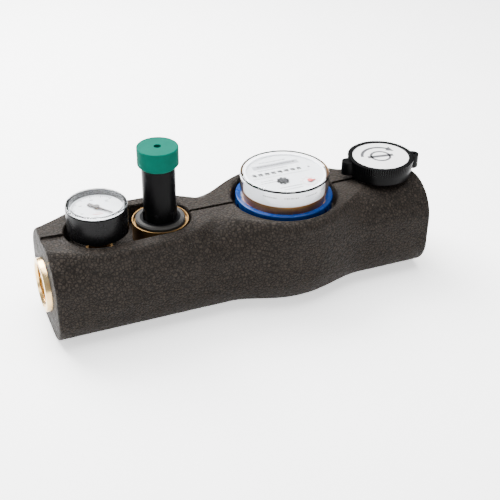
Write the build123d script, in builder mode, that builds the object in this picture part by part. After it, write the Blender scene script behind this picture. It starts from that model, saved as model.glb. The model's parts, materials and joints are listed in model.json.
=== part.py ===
from build123d import *
import os
from math import cos, pi, radians, sin, sqrt

# In-line water inlet valve: a brass body with isolating ball valve, strainer,
# water meter, pressure reducer, pressure gauge and check valve, inside a
# two-half foam jacket. Millimetres, +Z up, +X towards the inlet end.
# The origin is on the floor, midway along the length, in the parting plane.

os.makedirs("parts", exist_ok=True)

# ---------------------------------------------------------------- dimensions
# Overall jacket
JACKET_LENGTH = 300.0
JACKET_WIDTH = 75.0
JACKET_HEIGHT = 76.0
JACKET_TOP_CORNER = 28.5
JACKET_BASE_CORNER = 26.0
JACKET_END_ROUND = 1.5
PARTING_GAP = 0.3

# Clearances
JACKET_CLEAR = 0.3
RUNNING_CLEAR = 0.05
LOOSE_CLEAR = 0.4
BALL_CLEAR = 0.1

# Stations along the flow axis
GAUGE_FROM_END = 42.0
GAUGE_TO_REDUCER = 47.0
METER_TO_KNOB = 83.0
KNOB_FROM_END = 28.0
GAUGE_X = GAUGE_FROM_END - JACKET_LENGTH / 2
REDUCER_X = GAUGE_X + GAUGE_TO_REDUCER
KNOB_X = JACKET_LENGTH / 2 - KNOB_FROM_END
METER_X = KNOB_X - METER_TO_KNOB
AXIS_Z = JACKET_HEIGHT / 2

# Plateau and turret of the jacket
PLATEAU_WALL = 12.5
TURRET_WALL = 8.5
PLATEAU_END_WIDTH = 20.0
PLATEAU_EDGE_ROUND = 5.5
TURRET_BASE_ROUND = 33.0
WAIST_WIDTH = 34.0
WAIST_BLEND = 15.0
WAIST_BLEND_SHARE = 0.68
POCKET_DEPTH = 16.0
METER_POCKET_DEPTH = 16.0
POCKET_EDGE = 2.0
GAUGE_POCKET_GAP = 2.75
REDUCER_POCKET_GAP = 2.0
METER_POCKET_GAP = 3.5
STEM_HOLE_R = 13.0
GROOVE_WIDTH = 3.0
GROOVE_DEPTH = 2.0
END_NOTCH_WIDTH = 8.0

# Brass body
TUBE_R = 19.0
BORE_R = 9.0
GAUGE_BOSS_R = 10.0
GAUGE_BOSS_RISE = 3.0
REDUCER_BOSS_STEP = 2.0
REDUCER_BOSS_SINK = 1.5
REDUCER_BOSS_WALL = 5.0
REDUCER_LIP = 0.8
REDUCER_RECESS_DEPTH = 2.5
BOWL_DROP = 3.0
BOWL_STEP = 1.0
BOWL_WALL = 6.7
NECK_HEIGHT = 6.0
STEM_BOSS_R = 11.0
STEM_BOSS_RISE = 5.0

# End sockets, G1 female thread at its minor radius
SOCKET_STEP = 1.25
SOCKET_PROUD = 4.0
SOCKET_COLLAR = 10.0
SOCKET_THREAD_R = 15.15
SOCKET_THREAD_DEPTH = 15.0
SPIGOT_R = 17.5
SEAL_THICK = 1.5
SOCKET_CHAMFER = 1.0

# Ball valve
BALL_R = 13.0
CHAMBER_GAP = 2.0
SEAT_OVERLAP = 1.0
SEAT_BORE_R = 9.2
SEAT_LENGTH = 6.5
OPEN_ANGLE = -8.0
STEM_R = 5.0
TANG_DEPTH = 4.0
TANG_WIDTH = 5.2
TANG_CORNER = 1.0
GLAND_R = 8.0
GLAND_HEX = 19.0
GLAND_HEX_HEIGHT = 5.0
STEM_SEAL_HEIGHT = 3.0

# Isolating knob
KNOB_R = 26.0
KNOB_FOOT_R = 24.5
KNOB_LIFT = 2.5
KNOB_HEIGHT = 13.5
KNOB_WALL = 3.0
KNOB_RIBS = 88
KNOB_RIB_DEPTH = 0.8
KNOB_RIM = 3.0
KNOB_HUB_R = 8.5
KNOB_HUB_GAP = 3.0
LUG_REACH = 32.0
LUG_WIDTH = 10.0
LUG_INSET = 1.5
LUG_HOLE_R = 1.1
LUG_HOLE_REACH = 28.5
LABEL_THICK = 1.2
LABEL_SINK = 0.5
KNOB_SCREW_R = 2.0
KNOB_SCREW_HEAD_R = 3.8
KNOB_SCREW_HEAD = 2.4
KNOB_SCREW_LENGTH = 10.0

# Strainer and check valve
STRAINER_R = 11.0
STRAINER_WALL = 0.8
STRAINER_LENGTH = 26.0
STRAINER_HOLES = 12
STRAINER_SLOT = 2.0
STRAINER_RIM = 3.2
CHECK_R = 13.0
CHECK_WALL = 1.5
CHECK_LENGTH = 17.0
CHECK_SEAT_R = 7.5
CHECK_WINDOWS = 3
CHECK_WINDOW_R = 3.5
CHECK_WINDOW_OUT = 6.5
POPPET_R = 9.0
POPPET_THICK = 2.5
POPPET_STEM_R = 1.5
CHECK_SPRING_R = 4.0
CHECK_SPRING_WIRE = 0.5
CHECK_TURNS = 5

# Pressure gauge
GAUGE_R = 22.25
GAUGE_SINK = 1.0
GAUGE_CASE_HEIGHT = 20.5
GAUGE_LENS_RISE = 2.0
GAUGE_WALL = 1.6
GAUGE_LENS_THICK = 1.4
GAUGE_LENS_INSET = 0.3
DIAL_EDGE = 0.85
DIAL_LEDGE = 1.0
DIAL_INSET = 3.2
DIAL_THICK = 0.8
STEM_THREAD_R = 5.7
GAUGE_STEM_DEPTH = 13.0
GAUGE_HEX = 14.0
GAUGE_HEX_HEIGHT = 8.0
GAUGE_NECK_R = 6.0
GAUGE_PORT_R = 2.0
PINION_R = 0.9
POINTER_THICK = 0.6
POINTER_LIFT = 0.8
POINTER_HUB_R = 2.0
POINTER_TAIL_HALF = 1.6
POINTER_ROOT_HALF = 1.0
POINTER_TIP_HALF = 0.25
POINTER_REACH = 14.5
POINTER_TAIL = 7.5
ZERO_ANGLE = -52.0
TUBE_COIL_INSET = 4.3
TUBE_COIL_ARC = 260.0
TUBE_SECTION_R = 1.8
SECTOR_R = 9.0
SECTOR_GAP = 0.2
MOVEMENT_R = 11.0
MOVEMENT_LIFT = 4.0
MOVEMENT_PLATE = 1.0
SECTOR_PIN_R = 1.0
SECTOR_HUB_R = 2.2
SECTOR_THICK = 1.2
SECTOR_LIFT = 0.5

# Pressure reducer
CARTRIDGE_R = 13.0
CARTRIDGE_FLOOR = 3.0
CARTRIDGE_WAIST = 2.0
CARTRIDGE_WALL = 4.0
CARTRIDGE_PORT_R = 3.2
CARTRIDGE_PORTS = 4
DISC_CHAMBER_R = 10.0
DISC_CHAMBER_DEPTH = 10.0
DISC_THICK = 3.0
DISC_SEAT_LAP = 2.0
OUTLET_BORE_R = 6.0
HOUSING_THREAD_R = 15.0
DIAPHRAGM_RISE = 7.0
DIAPHRAGM_THICK = 1.5
DIAPHRAGM_DROP = 3.0
SEAT_HOLE_R = 6.0
VALVE_LIFT = 3.0
SPINDLE_R = 2.5
SPINDLE_RISE = 4.0
FOLLOWER_LAP = 1.4
FOLLOWER_THICK = 2.0
HOUSING_R = 12.2
HOUSING_BORE_R = 10.2
HOUSING_HEX = 23.0
CLAMP_RING_R = 18.5
CLAMP_RING_THICK = 4.5
CLAMP_RING_CHAMFER = 1.0
HEX_HEIGHT = 7.5
HOUSING_RISE = 42.0
HOUSING_ROOF = 4.0
CAP_R = 15.0
CAP_SKIRT = 7.5
CAP_RISE = 8.0
CAP_ROOF = 4.0
CAP_HOLE_R = 2.6
CAP_FOOT_CHAMFER = 2.0
CAP_EDGE_ROUND = 0.8
SCREW_R = 4.0
SCREW_REACH = 30.0
SCREW_HEAD_STEP = 3.0
SCREW_HEX_R = 2.08
SCREW_HEX_DEPTH = 3.0
PLATE_DROP = 22.0
PLATE_THICK = 4.0
SPRING_COIL_R = 7.6
SPRING_WIRE_R = 1.1
SPRING_TURNS = 7

# Water meter
CAPSULE_WALL = 3.0
CAPSULE_LID = 3.0
CAPSULE_SINK = 6.0
CAPSULE_PORTS = 6
CAPSULE_PORT_WIDTH = 8.0
CAPSULE_PORT_SLANT = 30.0
IMPELLER_GAP = 3.8
IMPELLER_LIFT = 2.0
IMPELLER_HUB_R = 3.0
IMPELLER_BLADES = 8
IMPELLER_BLADE = 1.2
IMPELLER_HEIGHT = 22.0
PIVOT_R = 1.0
HEAD_WALL = 3.0
HEAD_EDGE = 0.8
HEAD_RISE = 5.0
RING_R = 37.5
RING_WALL = 2.5
RING_HEIGHT = 8.0
RING_EDGE_ROUND = 1.0
RING_LIP = 2.0
RING_FACETS = 12
RING_FACET_DEPTH = 1.2
RING_FACET_WIDTH = 9.0
RING_FACET_HEIGHT = 4.0
LENS_STEP = 3.5
LENS_WALL = 1.7
LENS_RISE = 14.0
LENS_ROOF = 2.2
LENS_EDGE_ROUND = 1.2
REGISTER_EDGE = 0.2
REGISTER_WALL = 1.5
REGISTER_GAP = 0.8
PLATE_SINK = 1.2
DIAL_PLATE_THICK = 0.8
WHEEL_COUNT = 8
WHEEL_R = 3.6
WHEEL_WIDTH = 4.9
WHEEL_PITCH = 5.3
AXLE_R = 0.8
WHEEL_DROP = 0.6
WHEEL_WINDOW = 1.6
POST_THICK = 1.2
POST_WIDTH = 4.0
POST_OFFSET = 1.0
POST_GAP = 0.5
WHEEL_ROW_Y = 4.0
WHEEL_ROW_SHIFT = -4.7
STAR_R = 4.8
STAR_CORE_R = 2.9
STAR_LOBE_R = 1.15
STAR_LOBES = 8
STAR_OFFSET = (-6.0, -10.5)
LITRE_OFFSET = (13.2, -17.4)
LITRE_REACH = 4.2
LITRE_HUB_R = 1.1
LITRE_WIDTH = 0.7
HAND_LIFT = 0.3
HAND_THICK = 0.7
HAND_SHAFT_R = 0.7
HAND_SHAFT_LENGTH = 6.0

BASE = (Align.CENTER, Align.CENTER, Align.MIN)
SIDES = {"outlet": -1, "inlet": 1}

# ------------------------------------------------------------ derived places
HALF = JACKET_LENGTH / 2
# ends
SOCKET_R = TUBE_R + SOCKET_STEP
SOCKET_FACE = HALF + SOCKET_PROUD
COLLAR_BACK = SOCKET_FACE - SOCKET_COLLAR
BODY_END = COLLAR_BACK - SEAL_THICK
SPIGOT_END = KNOB_X + BALL_R - SEAT_OVERLAP
SPIGOT_LENGTH = BODY_END - SPIGOT_END
CHAMBER_R = BALL_R + CHAMBER_GAP
BALL_SHOULDER = KNOB_X - (SPIGOT_END - KNOB_X)
# bosses on the tube
GAUGE_BOSS_TOP = AXIS_Z + TUBE_R + GAUGE_BOSS_RISE
STEM_BOSS_TOP = AXIS_Z + TUBE_R + STEM_BOSS_RISE
GLAND_LOW = STEM_BOSS_TOP - 2 * STEM_SEAL_HEIGHT
GLAND_TOP = STEM_BOSS_TOP + GLAND_HEX_HEIGHT
REDUCER_BOSS_R = TUBE_R + REDUCER_BOSS_STEP
REDUCER_BOSS_TOP = JACKET_HEIGHT - REDUCER_BOSS_SINK
REDUCER_RECESS_R = REDUCER_BOSS_R - REDUCER_LIP
# knob
KNOB_LOW = JACKET_HEIGHT + KNOB_LIFT
KNOB_TOP = KNOB_LOW + KNOB_HEIGHT
KNOB_HUB_LOW = GLAND_TOP + KNOB_HUB_GAP
LUG_LOW = KNOB_LOW + LUG_INSET
LUG_TOP = KNOB_TOP - LUG_INSET
# gauge
GAUGE_LOW = JACKET_HEIGHT - GAUGE_SINK
GAUGE_RIM = GAUGE_LOW + GAUGE_CASE_HEIGHT
GAUGE_TOP = GAUGE_RIM + GAUGE_LENS_RISE
DIAL_TOP = GAUGE_RIM - DIAL_INSET
DIAL_R = GAUGE_R - GAUGE_WALL - DIAL_EDGE
TUBE_COIL_R = DIAL_R - TUBE_COIL_INSET
# reducer
CARTRIDGE_LOW = AXIS_Z - BORE_R - 1
DISC_CHAMBER_LOW = CARTRIDGE_LOW - DISC_CHAMBER_DEPTH
REDUCER_BOSS_FLOOR = DISC_CHAMBER_LOW - REDUCER_BOSS_WALL
DIAPHRAGM_Z = AXIS_Z + BORE_R + DIAPHRAGM_RISE
REDUCER_STOP = DIAPHRAGM_Z + DIAPHRAGM_THICK
CLAMP_SEAT = REDUCER_BOSS_TOP - REDUCER_RECESS_DEPTH
SHOULDER_Z = CLAMP_SEAT + CLAMP_RING_THICK
HEX_TOP = SHOULDER_Z + HEX_HEIGHT
HOUSING_TOP = HEX_TOP + HOUSING_RISE
CAP_LOW = HOUSING_TOP - CAP_SKIRT
CAP_TOP = HOUSING_TOP + CAP_RISE
SCREW_LOW = HOUSING_TOP - SCREW_REACH
PLATE_LOW = HOUSING_TOP - PLATE_DROP
# meter, its union ring level with the jacket's top
RING_TOP = JACKET_HEIGHT
RING_LOW = RING_TOP - RING_HEIGHT
NECK_R = RING_R - RING_WALL
NECK_TOP = RING_TOP - 2 * RING_LIP
BOWL_R = NECK_R + BOWL_STEP
BOWL_BORE_R = BOWL_R - BOWL_WALL
BOWL_FLOOR = AXIS_Z - TUBE_R - BOWL_DROP
BOWL_SHOULDER = NECK_TOP - NECK_HEIGHT
CAPSULE_TOP = BOWL_SHOULDER - CAPSULE_SINK
IMPELLER_R = BOWL_BORE_R - CAPSULE_WALL - IMPELLER_GAP
HEAD_BORE_R = NECK_R - HEAD_WALL
HEAD_TOP = RING_TOP + HEAD_RISE
LENS_R = RING_R - LENS_STEP
HEAD_R = LENS_R - LENS_WALL - HEAD_EDGE
LENS_SEAT = RING_TOP - RING_LIP
LENS_TOP = HEAD_TOP + LENS_RISE
REGISTER_R = HEAD_R - REGISTER_EDGE
REGISTER_TOP = LENS_TOP - LENS_ROOF - REGISTER_GAP
PLATE_TOP = REGISTER_TOP - PLATE_SINK
DIAL_PLATE_LOW = PLATE_TOP - DIAL_PLATE_THICK
WHEEL_Z = PLATE_TOP - WHEEL_R - WHEEL_DROP
# pockets in the jacket's top
GAUGE_POCKET_R = GAUGE_R + GAUGE_POCKET_GAP
REDUCER_POCKET_R = REDUCER_BOSS_R + REDUCER_POCKET_GAP
METER_POCKET_R = RING_R + METER_POCKET_GAP


# ------------------------------------------------------------------- helpers
def column(x, low, high, radius, mode=Mode.ADD, y=0.0):
    """Upright round column at station x, in the current part."""
    with Locations((x, y, low)):
        Cylinder(radius, high - low, align=BASE, mode=mode)


def barrel(low, high, radius, mode=Mode.ADD):
    """Round bar or bore along the flow axis, in the current part."""
    with Locations(Location((low, 0, AXIS_Z), (0, 90, 0))):
        Cylinder(radius, high - low, align=BASE, mode=mode)


def finish(part, name):
    """Label one finished piece and write it as its own file."""
    part.label = name
    export_step(part, f"parts/{name}.step")


def wire_spring(x, low, high, coil_r, wire_r, turns):
    """Upright compression spring standing between two flat faces."""
    rise = high - low - 2 * wire_r
    path = Helix(pitch=rise / turns, height=rise, radius=coil_r)
    section = Plane(origin=path @ 0, z_dir=path % 0) * Circle(wire_r)
    return Pos(x, 0, low + wire_r) * sweep(section, path=path)


# ---------------------------------------------------------------- brass body
with BuildPart() as brass_body:
    barrel(-BODY_END, BODY_END, TUBE_R)
    column(GAUGE_X, AXIS_Z, GAUGE_BOSS_TOP, GAUGE_BOSS_R)
    column(REDUCER_X, REDUCER_BOSS_FLOOR, REDUCER_BOSS_TOP, REDUCER_BOSS_R)
    column(METER_X, BOWL_FLOOR, BOWL_SHOULDER, BOWL_R)
    column(METER_X, BOWL_SHOULDER, NECK_TOP, NECK_R)
    column(KNOB_X, AXIS_Z, STEM_BOSS_TOP, STEM_BOSS_R)
    # flow way from the inlet end to the reducer's inlet side
    barrel(REDUCER_X, BODY_END, BORE_R, Mode.SUBTRACT)
    barrel(BALL_SHOULDER, BODY_END, CHAMBER_R, Mode.SUBTRACT)
    barrel(BALL_SHOULDER - STRAINER_LENGTH, BALL_SHOULDER, STRAINER_R, Mode.SUBTRACT)
    # outlet side, from below the reducer's seat up to the outlet end
    barrel(-BODY_END, GAUGE_X + GAUGE_BOSS_R, BORE_R, Mode.SUBTRACT)
    barrel(-BODY_END, -SPIGOT_END + CHECK_LENGTH, CHECK_R, Mode.SUBTRACT)
    for side in SIDES.values():
        spigot_low = min(side * SPIGOT_END, side * BODY_END)
        barrel(spigot_low, spigot_low + SPIGOT_LENGTH, SPIGOT_R, Mode.SUBTRACT)
    # slanted way from the seat's underside to the outlet bore
    outlet_run = Edge.make_line(
        (REDUCER_X, 0, DISC_CHAMBER_LOW + OUTLET_BORE_R),
        (GAUGE_X + GAUGE_BOSS_R, 0, AXIS_Z),
    )
    with BuildSketch(Plane(origin=outlet_run @ 0, z_dir=outlet_run % 0)):
        Circle(OUTLET_BORE_R)
    extrude(amount=outlet_run.length, mode=Mode.SUBTRACT)
    # upright chambers
    column(GAUGE_X, GAUGE_BOSS_TOP - GAUGE_STEM_DEPTH, GAUGE_BOSS_TOP, STEM_THREAD_R, Mode.SUBTRACT)
    column(GAUGE_X, AXIS_Z, GAUGE_BOSS_TOP, GAUGE_PORT_R, Mode.SUBTRACT)
    column(REDUCER_X, DISC_CHAMBER_LOW, CARTRIDGE_LOW, DISC_CHAMBER_R, Mode.SUBTRACT)
    column(REDUCER_X, CARTRIDGE_LOW, DIAPHRAGM_Z, CARTRIDGE_R, Mode.SUBTRACT)
    column(REDUCER_X, DIAPHRAGM_Z, REDUCER_BOSS_TOP, HOUSING_THREAD_R, Mode.SUBTRACT)
    column(REDUCER_X, CLAMP_SEAT, REDUCER_BOSS_TOP, REDUCER_RECESS_R, Mode.SUBTRACT)
    column(METER_X, BOWL_FLOOR + BOWL_WALL, CAPSULE_TOP, BOWL_BORE_R, Mode.SUBTRACT)
    column(METER_X, CAPSULE_TOP, NECK_TOP, HEAD_BORE_R, Mode.SUBTRACT)
    column(KNOB_X, AXIS_Z, STEM_BOSS_TOP, STEM_R + RUNNING_CLEAR, Mode.SUBTRACT)
    column(KNOB_X, GLAND_LOW, STEM_BOSS_TOP, GLAND_R, Mode.SUBTRACT)
finish(brass_body.part, "brass_body")


# --------------------------------------------------------------- end sockets
def end_socket(side):
    """Screwed-in brass socket with the female pipe thread of one end."""
    with BuildPart() as socket:
        collar_low = min(side * COLLAR_BACK, side * SOCKET_FACE)
        barrel(collar_low, collar_low + SOCKET_COLLAR, SOCKET_R)
        chamfer(socket.edges().filter_by(GeomType.CIRCLE), SOCKET_CHAMFER)
        spigot_low = min(side * SPIGOT_END, side * COLLAR_BACK)
        barrel(spigot_low, spigot_low + COLLAR_BACK - SPIGOT_END, SPIGOT_R)
        bore_low = min(side * SPIGOT_END, side * SOCKET_FACE)
        barrel(bore_low, bore_low + SOCKET_FACE - SPIGOT_END, BORE_R, Mode.SUBTRACT)
        thread_end = side * (SOCKET_FACE - SOCKET_THREAD_DEPTH)
        thread_low = min(thread_end, side * SOCKET_FACE)
        barrel(thread_low, thread_low + SOCKET_THREAD_DEPTH, SOCKET_THREAD_R, Mode.SUBTRACT)
    return socket.part


for end_name, end_side in SIDES.items():
    finish(end_socket(end_side), f"{end_name}_socket")

# one flat sealing ring behind each collar
with BuildPart() as socket_seals:
    for side in SIDES.values():
        seal_low = min(side * BODY_END, side * COLLAR_BACK)
        barrel(seal_low, seal_low + SEAL_THICK, TUBE_R)
        barrel(seal_low, seal_low + SEAL_THICK, SPIGOT_R, Mode.SUBTRACT)
finish(socket_seals.part, "socket_seals")

# ---------------------------------------------------------------- ball valve
BALL_TOP = AXIS_Z + BALL_R
TANG_LOW = BALL_TOP - TANG_DEPTH

with BuildPart() as valve_ball:
    with Locations(Location((KNOB_X, 0, AXIS_Z), (0, 0, OPEN_ANGLE))):
        Sphere(BALL_R)
        Cylinder(BORE_R, 3 * BALL_R, rotation=(0, 90, 0), mode=Mode.SUBTRACT)
    with Locations(Location((KNOB_X, 0, TANG_LOW), (0, 0, OPEN_ANGLE))):
        Box(TANG_WIDTH, 2 * BALL_R, 2 * TANG_DEPTH, align=BASE, mode=Mode.SUBTRACT)
finish(valve_ball.part, "valve_ball")

with BuildPart() as ball_seats:
    for side in SIDES.values():
        outer = KNOB_X + side * (SPIGOT_END - KNOB_X)
        seat_low = min(outer, outer - side * SEAT_LENGTH)
        barrel(seat_low, seat_low + SEAT_LENGTH, CHAMBER_R)
        barrel(seat_low, seat_low + SEAT_LENGTH, SEAT_BORE_R, Mode.SUBTRACT)
    with Locations(Location((KNOB_X, 0, AXIS_Z), (0, 90, 0))):
        Sphere(BALL_R + BALL_CLEAR, mode=Mode.SUBTRACT)
finish(ball_seats.part, "ball_seats")

STEM_TOP = KNOB_TOP - KNOB_WALL - LABEL_THICK - KNOB_SCREW_HEAD
with BuildPart() as valve_stem:
    column(KNOB_X, BALL_TOP, STEM_TOP, STEM_R)
    with Locations(Location((KNOB_X, 0, TANG_LOW), (0, 0, OPEN_ANGLE))):
        Box(TANG_WIDTH, 2 * (STEM_R - TANG_CORNER), TANG_DEPTH, align=BASE)
    column(KNOB_X, STEM_TOP - KNOB_SCREW_LENGTH, STEM_TOP, KNOB_SCREW_R, Mode.SUBTRACT)
finish(valve_stem.part, "valve_stem")

with BuildPart() as stem_seal:
    column(KNOB_X, GLAND_LOW, GLAND_LOW + STEM_SEAL_HEIGHT, GLAND_R)
    column(KNOB_X, GLAND_LOW, GLAND_LOW + STEM_SEAL_HEIGHT, STEM_R + RUNNING_CLEAR, Mode.SUBTRACT)
finish(stem_seal.part, "stem_seal")

with BuildPart() as gland_nut:
    column(KNOB_X, GLAND_LOW + STEM_SEAL_HEIGHT, STEM_BOSS_TOP, GLAND_R)
    with BuildSketch(Plane.XY.offset(STEM_BOSS_TOP)):
        with Locations((KNOB_X, 0)):
            RegularPolygon(GLAND_HEX / 2, 6, major_radius=False)
    extrude(amount=GLAND_HEX_HEIGHT)
    column(KNOB_X, GLAND_LOW, GLAND_TOP, STEM_R + RUNNING_CLEAR, Mode.SUBTRACT)
finish(gland_nut.part, "gland_nut")

# ------------------------------------------------------------- isolating knob
RECESS_R = KNOB_R - KNOB_RIB_DEPTH - KNOB_RIM
RECESS_FLOOR = KNOB_TOP - LABEL_SINK - LABEL_THICK
with BuildPart() as isolating_knob:
    with BuildSketch(Plane.XY.offset(KNOB_LOW)):
        with Locations((KNOB_X, 0)):
            Circle(KNOB_R)
            with PolarLocations(KNOB_R, KNOB_RIBS):
                rib_gap = 2 * pi * KNOB_R / KNOB_RIBS / 2
                Rectangle(2 * KNOB_RIB_DEPTH, rib_gap, mode=Mode.SUBTRACT)
    extrude(amount=KNOB_TOP - KNOB_LOW)
    # the rim tapers slightly towards its foot
    with Locations((KNOB_X, 0, KNOB_LOW)):
        Cone(KNOB_FOOT_R, KNOB_R, KNOB_TOP - KNOB_LOW, align=BASE, mode=Mode.INTERSECT)
    # a grip lug on either side, in line with the ball's bore
    with BuildSketch(Plane.XY.offset(LUG_LOW)):
        with Locations(Location((KNOB_X, 0, 0), (0, 0, OPEN_ANGLE))):
            SlotOverall(2 * LUG_REACH, LUG_WIDTH)
    extrude(amount=LUG_TOP - LUG_LOW)
    # hole for a sealing wire through one lug
    hole_x = KNOB_X + LUG_HOLE_REACH * cos(radians(OPEN_ANGLE))
    hole_y = LUG_HOLE_REACH * sin(radians(OPEN_ANGLE))
    column(hole_x, LUG_LOW, LUG_TOP, LUG_HOLE_R, Mode.SUBTRACT, y=hole_y)
    column(KNOB_X, RECESS_FLOOR, KNOB_TOP, RECESS_R, Mode.SUBTRACT)
    # hollow underside with a hub on the stem
    column(KNOB_X, KNOB_LOW, RECESS_FLOOR - KNOB_WALL, RECESS_R - LUG_INSET + LABEL_SINK, Mode.SUBTRACT)
    column(KNOB_X, KNOB_HUB_LOW, RECESS_FLOOR, KNOB_HUB_R)
    column(KNOB_X, KNOB_HUB_LOW, STEM_TOP, STEM_R, Mode.SUBTRACT)
    column(KNOB_X, STEM_TOP, RECESS_FLOOR, KNOB_SCREW_HEAD_R, Mode.SUBTRACT)
finish(isolating_knob.part, "isolating_knob")

with BuildPart() as knob_screw:
    column(KNOB_X, STEM_TOP - KNOB_SCREW_LENGTH, STEM_TOP, KNOB_SCREW_R)
    column(KNOB_X, STEM_TOP, STEM_TOP + KNOB_SCREW_HEAD, KNOB_SCREW_HEAD_R)
finish(knob_screw.part, "knob_screw")

with BuildPart() as knob_label:
    column(KNOB_X, RECESS_FLOOR, RECESS_FLOOR + LABEL_THICK, RECESS_R)
finish(knob_label.part, "knob_label")

# ------------------------------------------------- strainer and check valve
STRAINER_LOW = BALL_SHOULDER - STRAINER_LENGTH
with BuildPart() as strainer:
    barrel(STRAINER_LOW, BALL_SHOULDER, STRAINER_R)
    barrel(STRAINER_LOW, BALL_SHOULDER, STRAINER_R - STRAINER_WALL, Mode.SUBTRACT)
    slot_length = STRAINER_LENGTH - 2 * STRAINER_RIM
    slot_middle = STRAINER_LOW + STRAINER_LENGTH / 2
    for index in range(STRAINER_HOLES // 2):
        turn = 360 * index / STRAINER_HOLES
        with Locations(Location((slot_middle, 0, AXIS_Z), (turn, 0, 0))):
            Box(slot_length, 3 * STRAINER_R, STRAINER_SLOT, mode=Mode.SUBTRACT)
finish(strainer.part, "strainer")

CHECK_LOW = -SPIGOT_END
CHECK_HIGH = CHECK_LOW + CHECK_LENGTH
with BuildPart() as check_cage:
    barrel(CHECK_LOW, CHECK_HIGH, CHECK_R)
    barrel(CHECK_LOW + CHECK_WALL, CHECK_HIGH - CHECK_WALL, CHECK_R - CHECK_WALL, Mode.SUBTRACT)
    barrel(CHECK_HIGH - CHECK_WALL, CHECK_HIGH, CHECK_SEAT_R, Mode.SUBTRACT)
    # open windows in the end wall leave a spider that guides the poppet
    with BuildSketch(Plane.YZ.offset(CHECK_LOW)):
        with Locations((0, AXIS_Z)):
            with PolarLocations(CHECK_WINDOW_OUT, CHECK_WINDOWS):
                Circle(CHECK_WINDOW_R)
            Circle(POPPET_STEM_R + RUNNING_CLEAR)
    extrude(amount=CHECK_WALL, mode=Mode.SUBTRACT)
finish(check_cage.part, "check_cage")

POPPET_FACE = CHECK_HIGH - CHECK_WALL
with BuildPart() as check_poppet:
    barrel(POPPET_FACE - POPPET_THICK, POPPET_FACE, POPPET_R)
    barrel(CHECK_LOW, POPPET_FACE, POPPET_STEM_R)
finish(check_poppet.part, "check_poppet")

check_spring = Pos(CHECK_LOW + CHECK_WALL, 0, AXIS_Z) * Rot(0, 90, 0) * wire_spring(
    0,
    0,
    POPPET_FACE - POPPET_THICK - CHECK_LOW - CHECK_WALL,
    CHECK_SPRING_R,
    CHECK_SPRING_WIRE,
    CHECK_TURNS,
)
finish(check_spring, "check_spring")

# ------------------------------------------------------------ pressure gauge
GAUGE_HEX_TOP = GAUGE_BOSS_TOP + GAUGE_HEX_HEIGHT
CASE_FLOOR = GAUGE_LOW + GAUGE_WALL
with BuildPart() as gauge_stem:
    column(GAUGE_X, GAUGE_BOSS_TOP - GAUGE_STEM_DEPTH, GAUGE_BOSS_TOP, STEM_THREAD_R)
    with BuildSketch(Plane.XY.offset(GAUGE_BOSS_TOP)):
        with Locations((GAUGE_X, 0)):
            RegularPolygon(GAUGE_HEX / 2, 6, major_radius=False)
    extrude(amount=GAUGE_HEX_HEIGHT)
    column(GAUGE_X, GAUGE_HEX_TOP, CASE_FLOOR, GAUGE_NECK_R)
    column(GAUGE_X, GAUGE_BOSS_TOP - GAUGE_STEM_DEPTH, CASE_FLOOR, GAUGE_PORT_R, Mode.SUBTRACT)
finish(gauge_stem.part, "gauge_stem")

with BuildPart() as gauge_case:
    column(GAUGE_X, GAUGE_LOW, GAUGE_RIM, GAUGE_R)
    fillet(gauge_case.edges().filter_by(GeomType.CIRCLE), GAUGE_WALL / 2)
    column(GAUGE_X, CASE_FLOOR, GAUGE_RIM, GAUGE_R - GAUGE_WALL, Mode.SUBTRACT)
    column(GAUGE_X, GAUGE_LOW, CASE_FLOOR, GAUGE_NECK_R, Mode.SUBTRACT)
    # ledge that carries the dial
    column(GAUGE_X, DIAL_TOP - 3 * DIAL_THICK, DIAL_TOP - DIAL_THICK, GAUGE_R - GAUGE_WALL)
    column(GAUGE_X, CASE_FLOOR, DIAL_TOP, DIAL_R - DIAL_LEDGE, Mode.SUBTRACT)
finish(gauge_case.part, "gauge_case")

# the lens has a flange on the case rim and a skirt that drops inside the wall
LENS_SKIRT_R = GAUGE_R - GAUGE_WALL
with BuildPart() as gauge_lens:
    column(GAUGE_X, DIAL_TOP, GAUGE_RIM, LENS_SKIRT_R)
    column(GAUGE_X, GAUGE_RIM, GAUGE_TOP, GAUGE_R - GAUGE_LENS_INSET)
    top_edge = gauge_lens.edges().filter_by(GeomType.CIRCLE).sort_by(Axis.Z)[-1]
    fillet(top_edge, GAUGE_LENS_THICK / 2)
    column(GAUGE_X, DIAL_TOP, GAUGE_TOP - GAUGE_LENS_THICK, LENS_SKIRT_R - GAUGE_LENS_THICK, Mode.SUBTRACT)
finish(gauge_lens.part, "gauge_lens")

with BuildPart() as gauge_dial:
    column(GAUGE_X, DIAL_TOP - DIAL_THICK, DIAL_TOP, DIAL_R)
    column(GAUGE_X, DIAL_TOP - DIAL_THICK, DIAL_TOP, PINION_R + LOOSE_CLEAR, Mode.SUBTRACT)
finish(gauge_dial.part, "gauge_dial")

POINTER_LOW = DIAL_TOP + POINTER_LIFT
with BuildPart() as gauge_pointer:
    with BuildSketch(Plane(origin=(GAUGE_X, 0, POINTER_LOW)).rotated((0, 0, ZERO_ANGLE))):
        with BuildLine():
            Polyline(
                (-POINTER_TAIL, -POINTER_TAIL_HALF),
                (-POINTER_TAIL, POINTER_TAIL_HALF),
                (0, POINTER_ROOT_HALF),
                (POINTER_REACH, POINTER_TIP_HALF),
                (POINTER_REACH, -POINTER_TIP_HALF),
                (0, -POINTER_ROOT_HALF),
                close=True,
            )
        make_face()
        Circle(POINTER_HUB_R)
    extrude(amount=POINTER_THICK)
finish(gauge_pointer.part, "gauge_pointer")

MOVEMENT_TOP = DIAL_TOP - MOVEMENT_LIFT
MOVEMENT_LOW = CASE_FLOOR + MOVEMENT_LIFT
with BuildPart() as pointer_shaft:
    column(GAUGE_X, MOVEMENT_LOW, POINTER_LOW, PINION_R)
finish(pointer_shaft.part, "pointer_shaft")

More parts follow.
